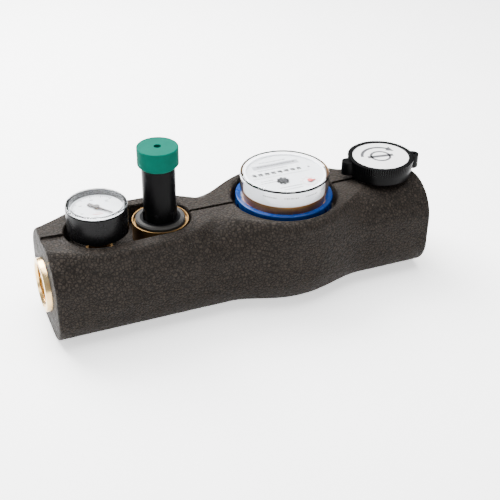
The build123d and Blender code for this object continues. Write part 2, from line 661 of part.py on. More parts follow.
SECTOR_X = GAUGE_X + PINION_R + SECTOR_GAP + SECTOR_R
with BuildPart() as gauge_movement:
    column(GAUGE_X, CASE_FLOOR, MOVEMENT_LOW, GAUGE_NECK_R)
    column(GAUGE_X, MOVEMENT_LOW, MOVEMENT_LOW + MOVEMENT_PLATE, MOVEMENT_R)
    column(GAUGE_X, CASE_FLOOR, MOVEMENT_LOW + MOVEMENT_PLATE, PINION_R + RUNNING_CLEAR, Mode.SUBTRACT)
    column(SECTOR_X, MOVEMENT_LOW, MOVEMENT_LOW + MOVEMENT_LIFT, SECTOR_PIN_R)
finish(gauge_movement.part, "gauge_movement")

SECTOR_LOW = MOVEMENT_LOW + MOVEMENT_PLATE + SECTOR_LIFT
with BuildPart() as sector_gear:
    with BuildSketch(Plane.XY.offset(SECTOR_LOW)):
        with Locations((SECTOR_X, 0)):
            Circle(SECTOR_R)
            Rectangle(2 * SECTOR_R, 2 * SECTOR_R, align=(Align.MIN, Align.CENTER), mode=Mode.SUBTRACT)
            Circle(SECTOR_HUB_R)
            Circle(SECTOR_PIN_R + RUNNING_CLEAR, mode=Mode.SUBTRACT)
    extrude(amount=SECTOR_THICK)
finish(sector_gear.part, "sector_gear")

with BuildPart() as bourdon_tube:
    with BuildSketch(Plane.XZ):
        with Locations((GAUGE_X + TUBE_COIL_R, MOVEMENT_TOP - TUBE_SECTION_R - DIAL_LEDGE)):
            Circle(TUBE_SECTION_R)
    revolve(axis=Axis((GAUGE_X, 0, 0), (0, 0, 1)), revolution_arc=TUBE_COIL_ARC)
finish(bourdon_tube.part, "bourdon_tube")

# ---------------------------------------------------------- pressure reducer
with BuildPart() as reducer_cartridge:
    column(REDUCER_X, CARTRIDGE_LOW, DIAPHRAGM_Z - DIAPHRAGM_DROP - 1, CARTRIDGE_R)
    # waist round which the inlet water flows
    with BuildSketch(Plane.XY.offset(AXIS_Z - BORE_R + 1)):
        with Locations((REDUCER_X, 0)):
            Circle(CARTRIDGE_R)
            Circle(CARTRIDGE_R - CARTRIDGE_WAIST, mode=Mode.SUBTRACT)
    extrude(amount=2 * BORE_R - 2, mode=Mode.SUBTRACT)
    cartridge_floor = CARTRIDGE_LOW + CARTRIDGE_FLOOR
    column(REDUCER_X, cartridge_floor, AXIS_Z + BORE_R - 1, CARTRIDGE_R - CARTRIDGE_WALL, Mode.SUBTRACT)
    column(REDUCER_X, CARTRIDGE_LOW, cartridge_floor, SEAT_HOLE_R, Mode.SUBTRACT)
    column(REDUCER_X, CARTRIDGE_LOW, DIAPHRAGM_Z, SPINDLE_R + RUNNING_CLEAR, Mode.SUBTRACT)
    with Locations((REDUCER_X, 0, AXIS_Z)):
        with PolarLocations(CARTRIDGE_R - CARTRIDGE_FLOOR, CARTRIDGE_PORTS, start_angle=45):
            Cylinder(CARTRIDGE_PORT_R, 2 * CARTRIDGE_WALL, rotation=(0, 90, 0), mode=Mode.SUBTRACT)
finish(reducer_cartridge.part, "reducer_cartridge")

DISC_TOP = CARTRIDGE_LOW - VALVE_LIFT
FOLLOWER_Z = DIAPHRAGM_Z - DIAPHRAGM_DROP
FOLLOWER_R = SPRING_COIL_R + FOLLOWER_LAP
FOLLOWER_SEAT = FOLLOWER_Z + DIAPHRAGM_THICK
with BuildPart() as valve_spindle:
    column(REDUCER_X, DISC_TOP - DISC_THICK, FOLLOWER_Z + SPINDLE_RISE, SPINDLE_R)
    column(REDUCER_X, FOLLOWER_SEAT, FOLLOWER_SEAT + FOLLOWER_THICK, FOLLOWER_R)
finish(valve_spindle.part, "valve_spindle")

with BuildPart() as valve_disc:
    column(REDUCER_X, DISC_TOP - DISC_THICK, DISC_TOP, SEAT_HOLE_R + DISC_SEAT_LAP)
    column(REDUCER_X, DISC_TOP - DISC_THICK, DISC_TOP, SPINDLE_R, Mode.SUBTRACT)
finish(valve_disc.part, "valve_disc")

with BuildPart() as diaphragm:
    with BuildSketch(Plane((REDUCER_X, 0, 0), x_dir=(1, 0, 0), z_dir=(0, -1, 0))):
        with BuildLine():
            Polyline(
                (SPINDLE_R, FOLLOWER_Z),
                (FOLLOWER_R, FOLLOWER_Z),
                (CARTRIDGE_R - 1, DIAPHRAGM_Z),
                (HOUSING_THREAD_R, DIAPHRAGM_Z),
                (HOUSING_THREAD_R, REDUCER_STOP),
                (CARTRIDGE_R - 2, REDUCER_STOP),
                (FOLLOWER_R, FOLLOWER_SEAT),
                (SPINDLE_R, FOLLOWER_SEAT),
                close=True,
            )
        make_face()
    revolve(axis=Axis((REDUCER_X, 0, 0), (0, 0, 1)))
finish(diaphragm.part, "diaphragm")

with BuildPart() as clamp_ring:
    column(REDUCER_X, CLAMP_SEAT, CLAMP_SEAT + CLAMP_RING_THICK, CLAMP_RING_R)
    chamfer(clamp_ring.edges().filter_by(GeomType.CIRCLE).sort_by(Axis.Z)[-1], CLAMP_RING_CHAMFER)
    column(REDUCER_X, CLAMP_SEAT, CLAMP_SEAT + CLAMP_RING_THICK, HOUSING_THREAD_R, Mode.SUBTRACT)
finish(clamp_ring.part, "clamp_ring")

# hexagon foot, its corners turned off by a cone at the top
with BuildPart() as reducer_foot:
    with BuildSketch(Plane.XY.offset(SHOULDER_Z)):
        with Locations((REDUCER_X, 0)):
            RegularPolygon(HOUSING_HEX / 2, 6, major_radius=False)
            Circle(HOUSING_R)
    extrude(amount=HEX_HEIGHT)
    with Locations((REDUCER_X, 0, SHOULDER_Z)):
        Cone(HOUSING_R + HEX_HEIGHT, HOUSING_R, HEX_HEIGHT, align=BASE, mode=Mode.INTERSECT)

with BuildPart() as reducer_housing:
    column(REDUCER_X, REDUCER_STOP, SHOULDER_Z, HOUSING_THREAD_R)
    add(reducer_foot.part)
    column(REDUCER_X, HEX_TOP, HOUSING_TOP, HOUSING_R)
    column(REDUCER_X, REDUCER_STOP, HOUSING_TOP - HOUSING_ROOF, HOUSING_BORE_R, Mode.SUBTRACT)
    column(REDUCER_X, REDUCER_STOP, HOUSING_TOP, SCREW_R + RUNNING_CLEAR, Mode.SUBTRACT)
finish(reducer_housing.part, "reducer_housing")

CAP_CEILING = CAP_TOP - CAP_ROOF
with BuildPart() as reducer_cap:
    column(REDUCER_X, CAP_LOW, CAP_TOP, CAP_R)
    rims = reducer_cap.edges().filter_by(GeomType.CIRCLE).sort_by(Axis.Z)
    chamfer(rims[0], CAP_FOOT_CHAMFER)
    fillet(rims[-1], CAP_EDGE_ROUND)
    column(REDUCER_X, CAP_LOW, CAP_CEILING, HOUSING_R + LOOSE_CLEAR, Mode.SUBTRACT)
    column(REDUCER_X, CAP_CEILING, CAP_TOP, CAP_HOLE_R, Mode.SUBTRACT)
finish(reducer_cap.part, "reducer_cap")

with BuildPart() as adjusting_screw:
    column(REDUCER_X, SCREW_LOW, HOUSING_TOP + RUNNING_CLEAR, SCREW_R)
    column(REDUCER_X, HOUSING_TOP + RUNNING_CLEAR, CAP_CEILING, HOUSING_R - SCREW_HEAD_STEP)
    with BuildSketch(Plane.XY.offset(CAP_CEILING)):
        with Locations((REDUCER_X, 0)):
            RegularPolygon(SCREW_HEX_R, 6, major_radius=True)
    extrude(amount=-SCREW_HEX_DEPTH, mode=Mode.SUBTRACT)
finish(adjusting_screw.part, "adjusting_screw")

with BuildPart() as spring_plate:
    column(REDUCER_X, PLATE_LOW, PLATE_LOW + PLATE_THICK, HOUSING_BORE_R - 2 * RUNNING_CLEAR)
    column(REDUCER_X, PLATE_LOW, PLATE_LOW + PLATE_THICK, SCREW_R + RUNNING_CLEAR, Mode.SUBTRACT)
finish(spring_plate.part, "spring_plate")

SPRING_LOW = FOLLOWER_SEAT + FOLLOWER_THICK
reducer_spring = wire_spring(
    REDUCER_X, SPRING_LOW, PLATE_LOW, SPRING_COIL_R, SPRING_WIRE_R, SPRING_TURNS
)
finish(reducer_spring, "reducer_spring")

# --------------------------------------------------------------- water meter
CAPSULE_LOW = BOWL_FLOOR + BOWL_WALL
LID_LOW = CAPSULE_TOP - CAPSULE_LID
with BuildPart() as capsule_cup:
    column(METER_X, CAPSULE_LOW, LID_LOW, BOWL_BORE_R)
    column(METER_X, CAPSULE_LOW + CAPSULE_WALL, LID_LOW, BOWL_BORE_R - CAPSULE_WALL, Mode.SUBTRACT)
    # slanting jets through the wall spin the impeller
    with Locations((METER_X, 0, AXIS_Z)):
        with PolarLocations(BOWL_BORE_R - CAPSULE_WALL, CAPSULE_PORTS):
            jet = (0, 0, CAPSULE_PORT_SLANT)
            Box(6 * CAPSULE_WALL, CAPSULE_PORT_WIDTH, BORE_R, rotation=jet, mode=Mode.SUBTRACT)
finish(capsule_cup.part, "capsule_cup")

with BuildPart() as capsule_lid:
    column(METER_X, LID_LOW, CAPSULE_TOP, BOWL_BORE_R)
finish(capsule_lid.part, "capsule_lid")

PIVOT_LOW = CAPSULE_LOW + CAPSULE_WALL
with BuildPart() as impeller_pin:
    column(METER_X, PIVOT_LOW, LID_LOW, PIVOT_R)
finish(impeller_pin.part, "impeller_pin")

IMPELLER_LOW = PIVOT_LOW + IMPELLER_LIFT
with BuildPart() as impeller:
    column(METER_X, IMPELLER_LOW, IMPELLER_LOW + IMPELLER_HEIGHT, IMPELLER_HUB_R)
    with Locations((METER_X, 0, IMPELLER_LOW)):
        with PolarLocations(0, IMPELLER_BLADES):
            Box(IMPELLER_R, IMPELLER_BLADE, IMPELLER_HEIGHT, align=(Align.MIN, Align.CENTER, Align.MIN))
    column(METER_X, IMPELLER_LOW, IMPELLER_LOW + IMPELLER_HEIGHT, PIVOT_R + RUNNING_CLEAR, Mode.SUBTRACT)
finish(impeller.part, "impeller")

with BuildPart() as meter_head:
    column(METER_X, CAPSULE_TOP, NECK_TOP, HEAD_BORE_R)
    column(METER_X, NECK_TOP, LENS_SEAT, NECK_R)
    column(METER_X, LENS_SEAT, HEAD_TOP, HEAD_R)
finish(meter_head.part, "meter_head")

with BuildPart() as meter_ring:
    column(METER_X, RING_LOW, RING_TOP, RING_R)
    ring_top_edge = meter_ring.edges().filter_by(GeomType.CIRCLE).sort_by(Axis.Z)[-1]
    fillet(ring_top_edge, RING_EDGE_ROUND)
    # shallow spanner facets round the lower edge
    with Locations((METER_X, 0, RING_LOW)):
        with PolarLocations(RING_R, RING_FACETS):
            Box(2 * RING_FACET_DEPTH, RING_FACET_WIDTH, 2 * RING_FACET_HEIGHT, mode=Mode.SUBTRACT)
    column(METER_X, RING_LOW, LENS_SEAT, NECK_R, Mode.SUBTRACT)
    column(METER_X, RING_LOW, RING_TOP, LENS_R, Mode.SUBTRACT)
finish(meter_ring.part, "meter_ring")

with BuildPart() as register_cup:
    column(METER_X, HEAD_TOP, REGISTER_TOP, REGISTER_R)
    column(METER_X, HEAD_TOP + REGISTER_WALL, REGISTER_TOP, REGISTER_R - REGISTER_WALL, Mode.SUBTRACT)
    # posts that hold the number wheels' axle
    row_half = WHEEL_COUNT * WHEEL_PITCH / 2 + POST_OFFSET
    row_middle = METER_X + WHEEL_ROW_SHIFT
    for end in (-1, 1):
        post_x = row_middle + end * row_half
        with Locations((post_x, WHEEL_ROW_Y, HEAD_TOP + REGISTER_WALL)):
            Box(POST_THICK, POST_WIDTH, DIAL_PLATE_LOW - HEAD_TOP - REGISTER_WALL - POST_GAP, align=BASE)
    with Locations(Location((row_middle, WHEEL_ROW_Y, WHEEL_Z), (0, 90, 0))):
        Cylinder(AXLE_R, 2 * row_half + POST_THICK, mode=Mode.SUBTRACT)
finish(register_cup.part, "register_cup")

with BuildPart() as wheel_axle:
    with Locations(Location((row_middle, WHEEL_ROW_Y, WHEEL_Z), (0, 90, 0))):
        Cylinder(AXLE_R, 2 * row_half + POST_THICK)
finish(wheel_axle.part, "wheel_axle")


def number_wheel(index):
    """One number wheel of the counter; number 1 is the fastest, at the right."""
    shift = (WHEEL_COUNT + 1) / 2 - index
    with BuildPart() as wheel:
        with Locations(Location((row_middle + shift * WHEEL_PITCH, WHEEL_ROW_Y, WHEEL_Z), (0, 90, 0))):
            Cylinder(WHEEL_R, WHEEL_WIDTH)
            Cylinder(AXLE_R + RUNNING_CLEAR, WHEEL_WIDTH, mode=Mode.SUBTRACT)
    return wheel.part


for wheel_index in range(1, WHEEL_COUNT + 1):
    finish(number_wheel(wheel_index), f"number_wheel_{wheel_index}")

STAR_X = METER_X + STAR_OFFSET[0]
STAR_Y = STAR_OFFSET[1]
LITRE_X = METER_X + LITRE_OFFSET[0]
LITRE_Y = LITRE_OFFSET[1]
with BuildPart() as meter_dial:
    column(METER_X, DIAL_PLATE_LOW, PLATE_TOP, REGISTER_R - REGISTER_WALL)
    with BuildSketch(Plane.XY.offset(DIAL_PLATE_LOW)):
        with Locations((row_middle, WHEEL_ROW_Y)):
            Rectangle(WHEEL_COUNT * WHEEL_PITCH, WHEEL_R * WHEEL_WINDOW)
        with Locations((STAR_X, STAR_Y), (LITRE_X, LITRE_Y)):
            Circle(HAND_SHAFT_R + RUNNING_CLEAR)
    extrude(amount=DIAL_PLATE_THICK, mode=Mode.SUBTRACT)
finish(meter_dial.part, "meter_dial")

HAND_LOW = PLATE_TOP + HAND_LIFT
with BuildPart() as flow_star:
    with BuildSketch(Plane.XY.offset(HAND_LOW)):
        with Locations((STAR_X, STAR_Y)):
            Circle(STAR_CORE_R)
            with PolarLocations(STAR_R - STAR_LOBE_R, STAR_LOBES):
                Circle(STAR_LOBE_R)
    extrude(amount=HAND_THICK)
    column(STAR_X, HAND_LOW - HAND_SHAFT_LENGTH, HAND_LOW, HAND_SHAFT_R, y=STAR_Y)
finish(flow_star.part, "flow_star")

with BuildPart() as litre_pointer:
    with BuildSketch(Plane.XY.offset(HAND_LOW)):
        with Locations((LITRE_X, LITRE_Y)):
            Circle(LITRE_HUB_R)
            Rectangle(LITRE_REACH, LITRE_WIDTH, align=(Align.MIN, Align.CENTER))
    extrude(amount=HAND_THICK)
    column(LITRE_X, HAND_LOW - HAND_SHAFT_LENGTH, HAND_LOW, HAND_SHAFT_R, y=LITRE_Y)
finish(litre_pointer.part, "litre_pointer")

with BuildPart() as meter_lens:
    column(METER_X, LENS_SEAT, LENS_TOP, LENS_R)
    lens_edge = meter_lens.edges().filter_by(GeomType.CIRCLE).sort_by(Axis.Z)[-1]
    fillet(lens_edge, LENS_EDGE_ROUND)
    column(METER_X, LENS_SEAT, LENS_TOP - LENS_ROOF, LENS_R - LENS_WALL, Mode.SUBTRACT)
finish(meter_lens.part, "meter_lens")


# -------------------------------------------------------------- foam jacket
def jacket_half(side):
    """One foam half shell, on the +Y side for side = 1 or the -Y side for -1."""
    corners = (JACKET_BASE_CORNER, JACKET_TOP_CORNER)
    plateau_r = GAUGE_POCKET_R + PLATEAU_WALL
    narrow_r = REDUCER_POCKET_R + PLATEAU_WALL
    turret_r = METER_POCKET_R + TURRET_WALL
    with BuildPart() as half:
        # straight tube with a rounded section
        with BuildSketch(Plane.YZ.offset(-HALF)) as section:
            with Locations((0, AXIS_Z)):
                Rectangle(JACKET_WIDTH, JACKET_HEIGHT)
            fillet(section.vertices().group_by(Axis.Y)[0], corners[0])
            fillet(section.vertices().group_by(Axis.Y)[-1], corners[1])
        extrude(amount=JACKET_LENGTH)
        fillet(half.faces().sort_by(Axis.X)[0].edges(), JACKET_END_ROUND)
        fillet(half.faces().sort_by(Axis.X)[-1].edges(), JACKET_END_ROUND)
    tube = half.part
    with BuildPart() as crown:
        # raised plateau, waist and meter turret seen from above
        with BuildSketch(Plane.XY.offset(AXIS_Z)) as plan:
            with Locations((GAUGE_X, 0)):
                Circle(plateau_r)
            with Locations((REDUCER_X, 0)):
                Circle(narrow_r)
            with Locations((-HALF + 2 * JACKET_END_ROUND, 0)):
                Rectangle(JACKET_END_ROUND, PLATEAU_END_WIDTH)
            make_hull()
            with Locations((METER_X, 0)):
                Circle(turret_r)
            with Locations(((REDUCER_X + KNOB_X) / 2, 0)):
                Rectangle(KNOB_X - REDUCER_X, WAIST_WIDTH)
            inner_corners = [v for v in plan.vertices() if abs(abs(v.Y) - WAIST_WIDTH / 2) < 0.01]
            # the blends on either side share the waist's own length
            waist_half = WAIST_WIDTH / 2
            plateau_edge = REDUCER_X + sqrt(narrow_r**2 - waist_half**2)
            turret_edge = METER_X - sqrt(turret_r**2 - waist_half**2)
            waist_blend = min(WAIST_BLEND, WAIST_BLEND_SHARE * (turret_edge - plateau_edge))
            fillet([v for v in inner_corners if v.X < KNOB_X - 1], waist_blend)
        extrude(amount=JACKET_HEIGHT - AXIS_Z)
        fillet(crown.faces().sort_by(Axis.Z)[-1].edges(), PLATEAU_EDGE_ROUND)
    with BuildPart() as belly:
        # rounded belly below the turret
        column(METER_X, 0, AXIS_Z, turret_r)
        fillet(belly.faces().sort_by(Axis.Z)[0].edges(), TURRET_BASE_ROUND)
    with BuildPart() as shell:
        add(tube)
        add(crown.part)
        add(belly.part)
        top_cut = JACKET_HEIGHT + 1
        # pocket round gauge and reducer
        with BuildSketch(Plane.XY.offset(JACKET_HEIGHT - POCKET_DEPTH)):
            with Locations((GAUGE_X, 0)):
                Circle(GAUGE_POCKET_R)
            with Locations((REDUCER_X, 0)):
                Circle(REDUCER_POCKET_R)
            make_hull()
        extrude(amount=POCKET_DEPTH + 1, mode=Mode.SUBTRACT)
        column(METER_X, JACKET_HEIGHT - METER_POCKET_DEPTH, top_cut, METER_POCKET_R, Mode.SUBTRACT)
        column(KNOB_X, JACKET_HEIGHT - POCKET_DEPTH, top_cut, STEM_HOLE_R, Mode.SUBTRACT)
        # nest for the brass work
        barrel(-HALF, HALF, TUBE_R + JACKET_CLEAR, Mode.SUBTRACT)
        for end in SIDES.values():
            nest_low = min(end * HALF, end * (COLLAR_BACK - JACKET_CLEAR))
            nest_length = HALF - COLLAR_BACK + JACKET_CLEAR
            barrel(nest_low, nest_low + nest_length, SOCKET_R + JACKET_CLEAR, Mode.SUBTRACT)
        # the gauge and stem nests run on up, so their hexagons stay clear in a taller jacket
        nests = (
            (GAUGE_X, AXIS_Z, JACKET_HEIGHT, GAUGE_BOSS_R),
            (REDUCER_X, REDUCER_BOSS_FLOOR, REDUCER_BOSS_TOP, REDUCER_BOSS_R),
            (METER_X, BOWL_FLOOR, BOWL_SHOULDER, BOWL_R),
            (KNOB_X, AXIS_Z, JACKET_HEIGHT, STEM_BOSS_R),
        )
        for x, low, high, radius in nests:
            column(x, low - JACKET_CLEAR, high + JACKET_CLEAR, radius + JACKET_CLEAR, Mode.SUBTRACT)
        # parting groove along the top, opening to a notch at the outlet end
        with BuildSketch(Plane.XY.offset(JACKET_HEIGHT)):
            Rectangle(JACKET_LENGTH, GROOVE_WIDTH)
            with BuildLine():
                Polyline(
                    (-HALF, -END_NOTCH_WIDTH / 2),
                    (-HALF, END_NOTCH_WIDTH / 2),
                    (GAUGE_X, GROOVE_WIDTH / 2),
                    (GAUGE_X, -GROOVE_WIDTH / 2),
                    close=True,
                )
            make_face()
        extrude(amount=-GROOVE_DEPTH, mode=Mode.SUBTRACT)
        parting = Plane.XZ.offset(-side * PARTING_GAP / 2)
        split(bisect_by=parting, keep=Keep.TOP if side < 0 else Keep.BOTTOM)
    return shell.part


for jacket_name, jacket_side in (("front_jacket", -1), ("rear_jacket", 1)):
    finish(jacket_half(jacket_side), jacket_name)
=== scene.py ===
# %% [markdown]
# # An in-line water inlet valve in its foam jacket
# The object is a brass valve body inside a two-half foam jacket. On top stand
# a pressure gauge, a pressure reducer with a green cap, a water meter and a
# ribbed shut-off knob. The frame holds every part at its real size and place,
# so this lesson only makes surfaces, printing and light. We start by loading
# the frame.

# %% Load the frame
import json
from math import acos, cos, pi, radians, sin, sqrt, tau

import bmesh
import bpy
import numpy as np
from mathutils import Matrix, Vector, noise


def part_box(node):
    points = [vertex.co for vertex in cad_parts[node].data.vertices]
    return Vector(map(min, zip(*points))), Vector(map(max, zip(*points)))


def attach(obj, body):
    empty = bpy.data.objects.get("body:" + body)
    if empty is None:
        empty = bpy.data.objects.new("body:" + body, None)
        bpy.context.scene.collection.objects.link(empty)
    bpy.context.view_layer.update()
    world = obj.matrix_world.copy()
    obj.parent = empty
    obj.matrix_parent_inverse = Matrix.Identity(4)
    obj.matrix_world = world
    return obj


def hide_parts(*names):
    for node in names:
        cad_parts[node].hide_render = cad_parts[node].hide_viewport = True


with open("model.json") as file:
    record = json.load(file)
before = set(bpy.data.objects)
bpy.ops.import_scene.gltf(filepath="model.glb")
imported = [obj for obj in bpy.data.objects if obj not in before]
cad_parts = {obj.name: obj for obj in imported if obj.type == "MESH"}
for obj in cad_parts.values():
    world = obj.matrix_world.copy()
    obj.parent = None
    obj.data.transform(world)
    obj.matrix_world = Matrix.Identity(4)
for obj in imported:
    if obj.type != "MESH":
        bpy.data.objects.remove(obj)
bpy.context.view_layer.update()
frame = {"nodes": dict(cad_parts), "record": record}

MM = 0.001
nodes = frame["nodes"]

# %% [markdown]
# Most parts here stand on an upright axis, so we ask the frame where those
# axes are instead of typing them in. If a fitting moves along the pipe in the
# design, its printing, its marks and its pocket in the foam move with it.


# %% Read the stations of the fittings
def middle(node):
    """Centre of a frame node's box."""
    low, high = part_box(node)
    return (low + high) / 2


def top_of(node):
    """Highest point of a frame node."""
    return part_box(node)[1].z


def radius_of(node):
    """Half the width across Y of a round upright node."""
    low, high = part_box(node)
    return (high.y - low.y) / 2


GAUGE = middle("gauge_case")
REDUCER = middle("reducer_housing")
METER = middle("meter_lens")
KNOB = middle("knob_label")
AXIS_Z = middle("inlet_socket").z
print("stations along X in mm:", [round(p.x / MM, 1) for p in (GAUGE, REDUCER, METER, KNOB)])

# %% [markdown]
# ## Camera, floor and light
# The camera looks down on the front from the outlet end. Its place and its
# three axes are plain numbers of this set-up; a 72 mm lens on a 36 mm sensor
# gives the mild perspective of a lens held under a metre away.

# %% Place the camera
CAMERA_AT = Vector((-246.2, -607.4, 457.8)) * MM
PITCH, HEADING, ROLL = 0.576, 0.401, 0.015
look = Vector((sin(HEADING) * cos(PITCH), cos(HEADING) * cos(PITCH), -sin(PITCH)))
level = Vector((cos(HEADING), -sin(HEADING), 0))
rise = level.cross(look)
across = cos(ROLL) * level + sin(ROLL) * rise
upward = cos(ROLL) * rise - sin(ROLL) * level
camera_data = bpy.data.cameras.new("product_camera")
camera_data.sensor_width = 36
camera_data.lens = 72
camera = bpy.data.objects.new("product_camera", camera_data)
bpy.context.scene.collection.objects.link(camera)
camera.matrix_world = Matrix((across, upward, -look)).transposed().to_4x4()
camera.location = CAMERA_AT
bpy.context.scene.camera = camera
print("camera height in mm:", round(camera.location.z / MM))

# %% [markdown]
# The object stands on a white sweep under soft light from above and behind,
# so the tops are pale, the front stays dark and a soft grey shadow falls
# towards the viewer. Large area lights give soft edges; the white world
# fills the rest.


# %% Floor and lights
def soft_light(name, at, aim, size, watts):
    """Square area light at a place in millimetres, turned to a point."""
    data = bpy.data.lights.new(name, "AREA")
    data.shape = "SQUARE"
    data.size = size
    data.energy = watts
    lamp = bpy.data.objects.new(name, data)
    bpy.context.scene.collection.objects.link(lamp)
    lamp.location = Vector(at) * MM
    lamp.rotation_mode = "QUATERNION"
    lamp.rotation_quaternion = (Vector(aim) * MM - lamp.location).to_track_quat("-Z", "Y")
    return lamp


soft_light("back_softbox", (-250, 650, 800), (0, 0, 40), 0.7, 50)
soft_light("overhead_softbox", (100, 50, 1000), (0, 0, 40), 0.9, 28)
soft_light("left_softbox", (-900, -150, 450), (-100, 0, 40), 0.5, 4)

world = bpy.data.worlds.new("studio_white")
world.use_nodes = True
world.node_tree.nodes["Background"].inputs["Color"].default_value = (1, 1, 1, 1)
world.node_tree.nodes["Background"].inputs["Strength"].default_value = 0.6
bpy.context.scene.world = world

bpy.ops.mesh.primitive_plane_add(size=8)
floor = bpy.context.object
floor.name = "floor_sweep"

# %% [markdown]
# ## Shader groups for effects that many finishes share
# A node group is a small machine with named sockets: build it once, place it
# in any material with its own numbers. These groups only give out heights and
# masks. The shader itself stays in each material.


# %% A helper that starts a node group
def start_group(name, inputs, outputs):
    """New shader group with float inputs (name: default) and float outputs."""
    group = bpy.data.node_groups.new(name, "ShaderNodeTree")
    for label, value in inputs.items():
        socket = group.interface.new_socket(label, in_out="INPUT", socket_type="NodeSocketFloat")
        socket.default_value = value
    for label in outputs:
        group.interface.new_socket(label, in_out="OUTPUT", socket_type="NodeSocketFloat")
    entry = group.nodes.new("NodeGroupInput")
    exit_node = group.nodes.new("NodeGroupOutput")
    return group, entry, exit_node


def wire(tree, source, target):
    """Join two sockets."""
    tree.links.new(source, target)


# %% [markdown]
# Moulded plastic is never quite flat: the tool's surface leaves a fine grain,
# and handling leaves faint dull patches. Two noise textures do both. Object
# coordinates are in metres, so the scale is grains per metre.


# %% Moulded grain
def make_moulded_grain():
    """Fine grain height and a slow wear mask for moulded plastic."""
    group, entry, out = start_group(
        "moulded_grain", {"Grains per metre": 3000.0, "Patches per metre": 60.0}, ("Height", "Wear")
    )
    place = group.nodes.new("ShaderNodeTexCoord")
    grain = group.nodes.new("ShaderNodeTexNoise")
    grain.inputs["Detail"].default_value = 3
    patches = group.nodes.new("ShaderNodeTexNoise")
    patches.inputs["Detail"].default_value = 6
    patches.inputs["Roughness"].default_value = 0.65
    wire(group, place.outputs["Object"], grain.inputs["Vector"])
    wire(group, place.outputs["Object"], patches.inputs["Vector"])
    wire(group, entry.outputs["Grains per metre"], grain.inputs["Scale"])
    wire(group, entry.outputs["Patches per metre"], patches.inputs["Scale"])
    wire(group, grain.outputs["Fac"], out.inputs["Height"])
    wire(group, patches.outputs["Fac"], out.inputs["Wear"])
    return group


MOULDED_GRAIN = make_moulded_grain()

# %% [markdown]
# The jacket is expanded foam: small beads fused in a steam mould. Where the
# skin is pressed against the tool each bead shows as a flat cell with a dark
# seam round it. A Voronoi texture set to "distance to edge" is exactly that
# pattern; a second, finer one gives the pits inside a bead.


# %% Foam beads
def make_foam_beads():
    """Bead height (1 on a bead, 0 in a seam), pits, and one tone per bead."""
    group, entry, out = start_group(
        "foam_beads", {"Beads per metre": 420.0, "Pits per metre": 2200.0}, ("Height", "Seam", "Tone")
    )
    place = group.nodes.new("ShaderNodeTexCoord")
    warp = group.nodes.new("ShaderNodeTexNoise")
    warp.inputs["Scale"].default_value = 300
    bend = group.nodes.new("ShaderNodeVectorMath")
    bend.operation = "MULTIPLY_ADD"
    bend.inputs[1].default_value = (0.0012, 0.0012, 0.0012)
    wire(group, place.outputs["Object"], warp.inputs["Vector"])
    wire(group, warp.outputs["Color"], bend.inputs[0])
    wire(group, place.outputs["Object"], bend.inputs[2])
    edge = group.nodes.new("ShaderNodeTexVoronoi")
    edge.feature = "DISTANCE_TO_EDGE"
    cell = group.nodes.new("ShaderNodeTexVoronoi")
    pits = group.nodes.new("ShaderNodeTexNoise")
    pits.inputs["Detail"].default_value = 4
    for texture, scale in ((edge, "Beads per metre"), (cell, "Beads per metre"), (pits, "Pits per metre")):
        wire(group, bend.outputs["Vector"], texture.inputs["Vector"])
        wire(group, entry.outputs[scale], texture.inputs["Scale"])
    dome = group.nodes.new("ShaderNodeMapRange")
    dome.interpolation_type = "SMOOTHSTEP"
    dome.inputs["From Max"].default_value = 0.22
    wire(group, edge.outputs["Distance"], dome.inputs["Value"])
    height = group.nodes.new("ShaderNodeMath")
    height.operation = "MULTIPLY_ADD"
    height.inputs[1].default_value = 0.35
    wire(group, pits.outputs["Fac"], height.inputs[0])
    wire(group, dome.outputs["Result"], height.inputs[2])
    tone = group.nodes.new("ShaderNodeSeparateColor")
    wire(group, cell.outputs["Color"], tone.inputs["Color"])
    wire(group, height.outputs["Value"], out.inputs["Height"])
    wire(group, dome.outputs["Result"], out.inputs["Seam"])
    wire(group, tone.outputs["Red"], out.inputs["Tone"])
    return group


FOAM_BEADS = make_foam_beads()

# %% [markdown]
# Turned brass and drawn steel carry fine rings from the tool. Noise squeezed
# hard along one direction makes such lines; where the axis is upright the
# rings are level, so the squeeze is along Z, and for the end sockets it is
# along X.


# %% Turning marks
def make_turning_marks():
    """Line height from the cutting tool, and slow tarnish patches."""
    group, entry, out = start_group(
        "turning_marks", {"Lines X": 40.0, "Lines Y": 40.0, "Lines Z": 4000.0}, ("Height", "Tarnish")
    )
    place = group.nodes.new("ShaderNodeTexCoord")
    stretch = group.nodes.new("ShaderNodeCombineXYZ")
    for axis in "XYZ":
        wire(group, entry.outputs["Lines " + axis], stretch.inputs[axis])
    squeeze = group.nodes.new("ShaderNodeVectorMath")
    squeeze.operation = "MULTIPLY"
    wire(group, place.outputs["Object"], squeeze.inputs[0])
    wire(group, stretch.outputs["Vector"], squeeze.inputs[1])
    lines = group.nodes.new("ShaderNodeTexNoise")
    lines.inputs["Scale"].default_value = 1
    lines.inputs["Detail"].default_value = 4
    wire(group, squeeze.outputs["Vector"], lines.inputs["Vector"])
    tarnish = group.nodes.new("ShaderNodeTexNoise")
    tarnish.inputs["Scale"].default_value = 90
    tarnish.inputs["Detail"].default_value = 8
    wire(group, place.outputs["Object"], tarnish.inputs["Vector"])
    wire(group, lines.outputs["Fac"], out.inputs["Height"])
    wire(group, tarnish.outputs["Fac"], out.inputs["Tarnish"])
    return group


TURNING_MARKS = make_turning_marks()
print("groups:", [g.name for g in bpy.data.node_groups])

# %% [markdown]
# ## Finishes
# Each finish below is one material. A small helper makes the tree; a second
# one turns a mask into two tones; a third feeds a height into a Bump node.
# Numbers that are the same all over sit on the shader's own sockets.


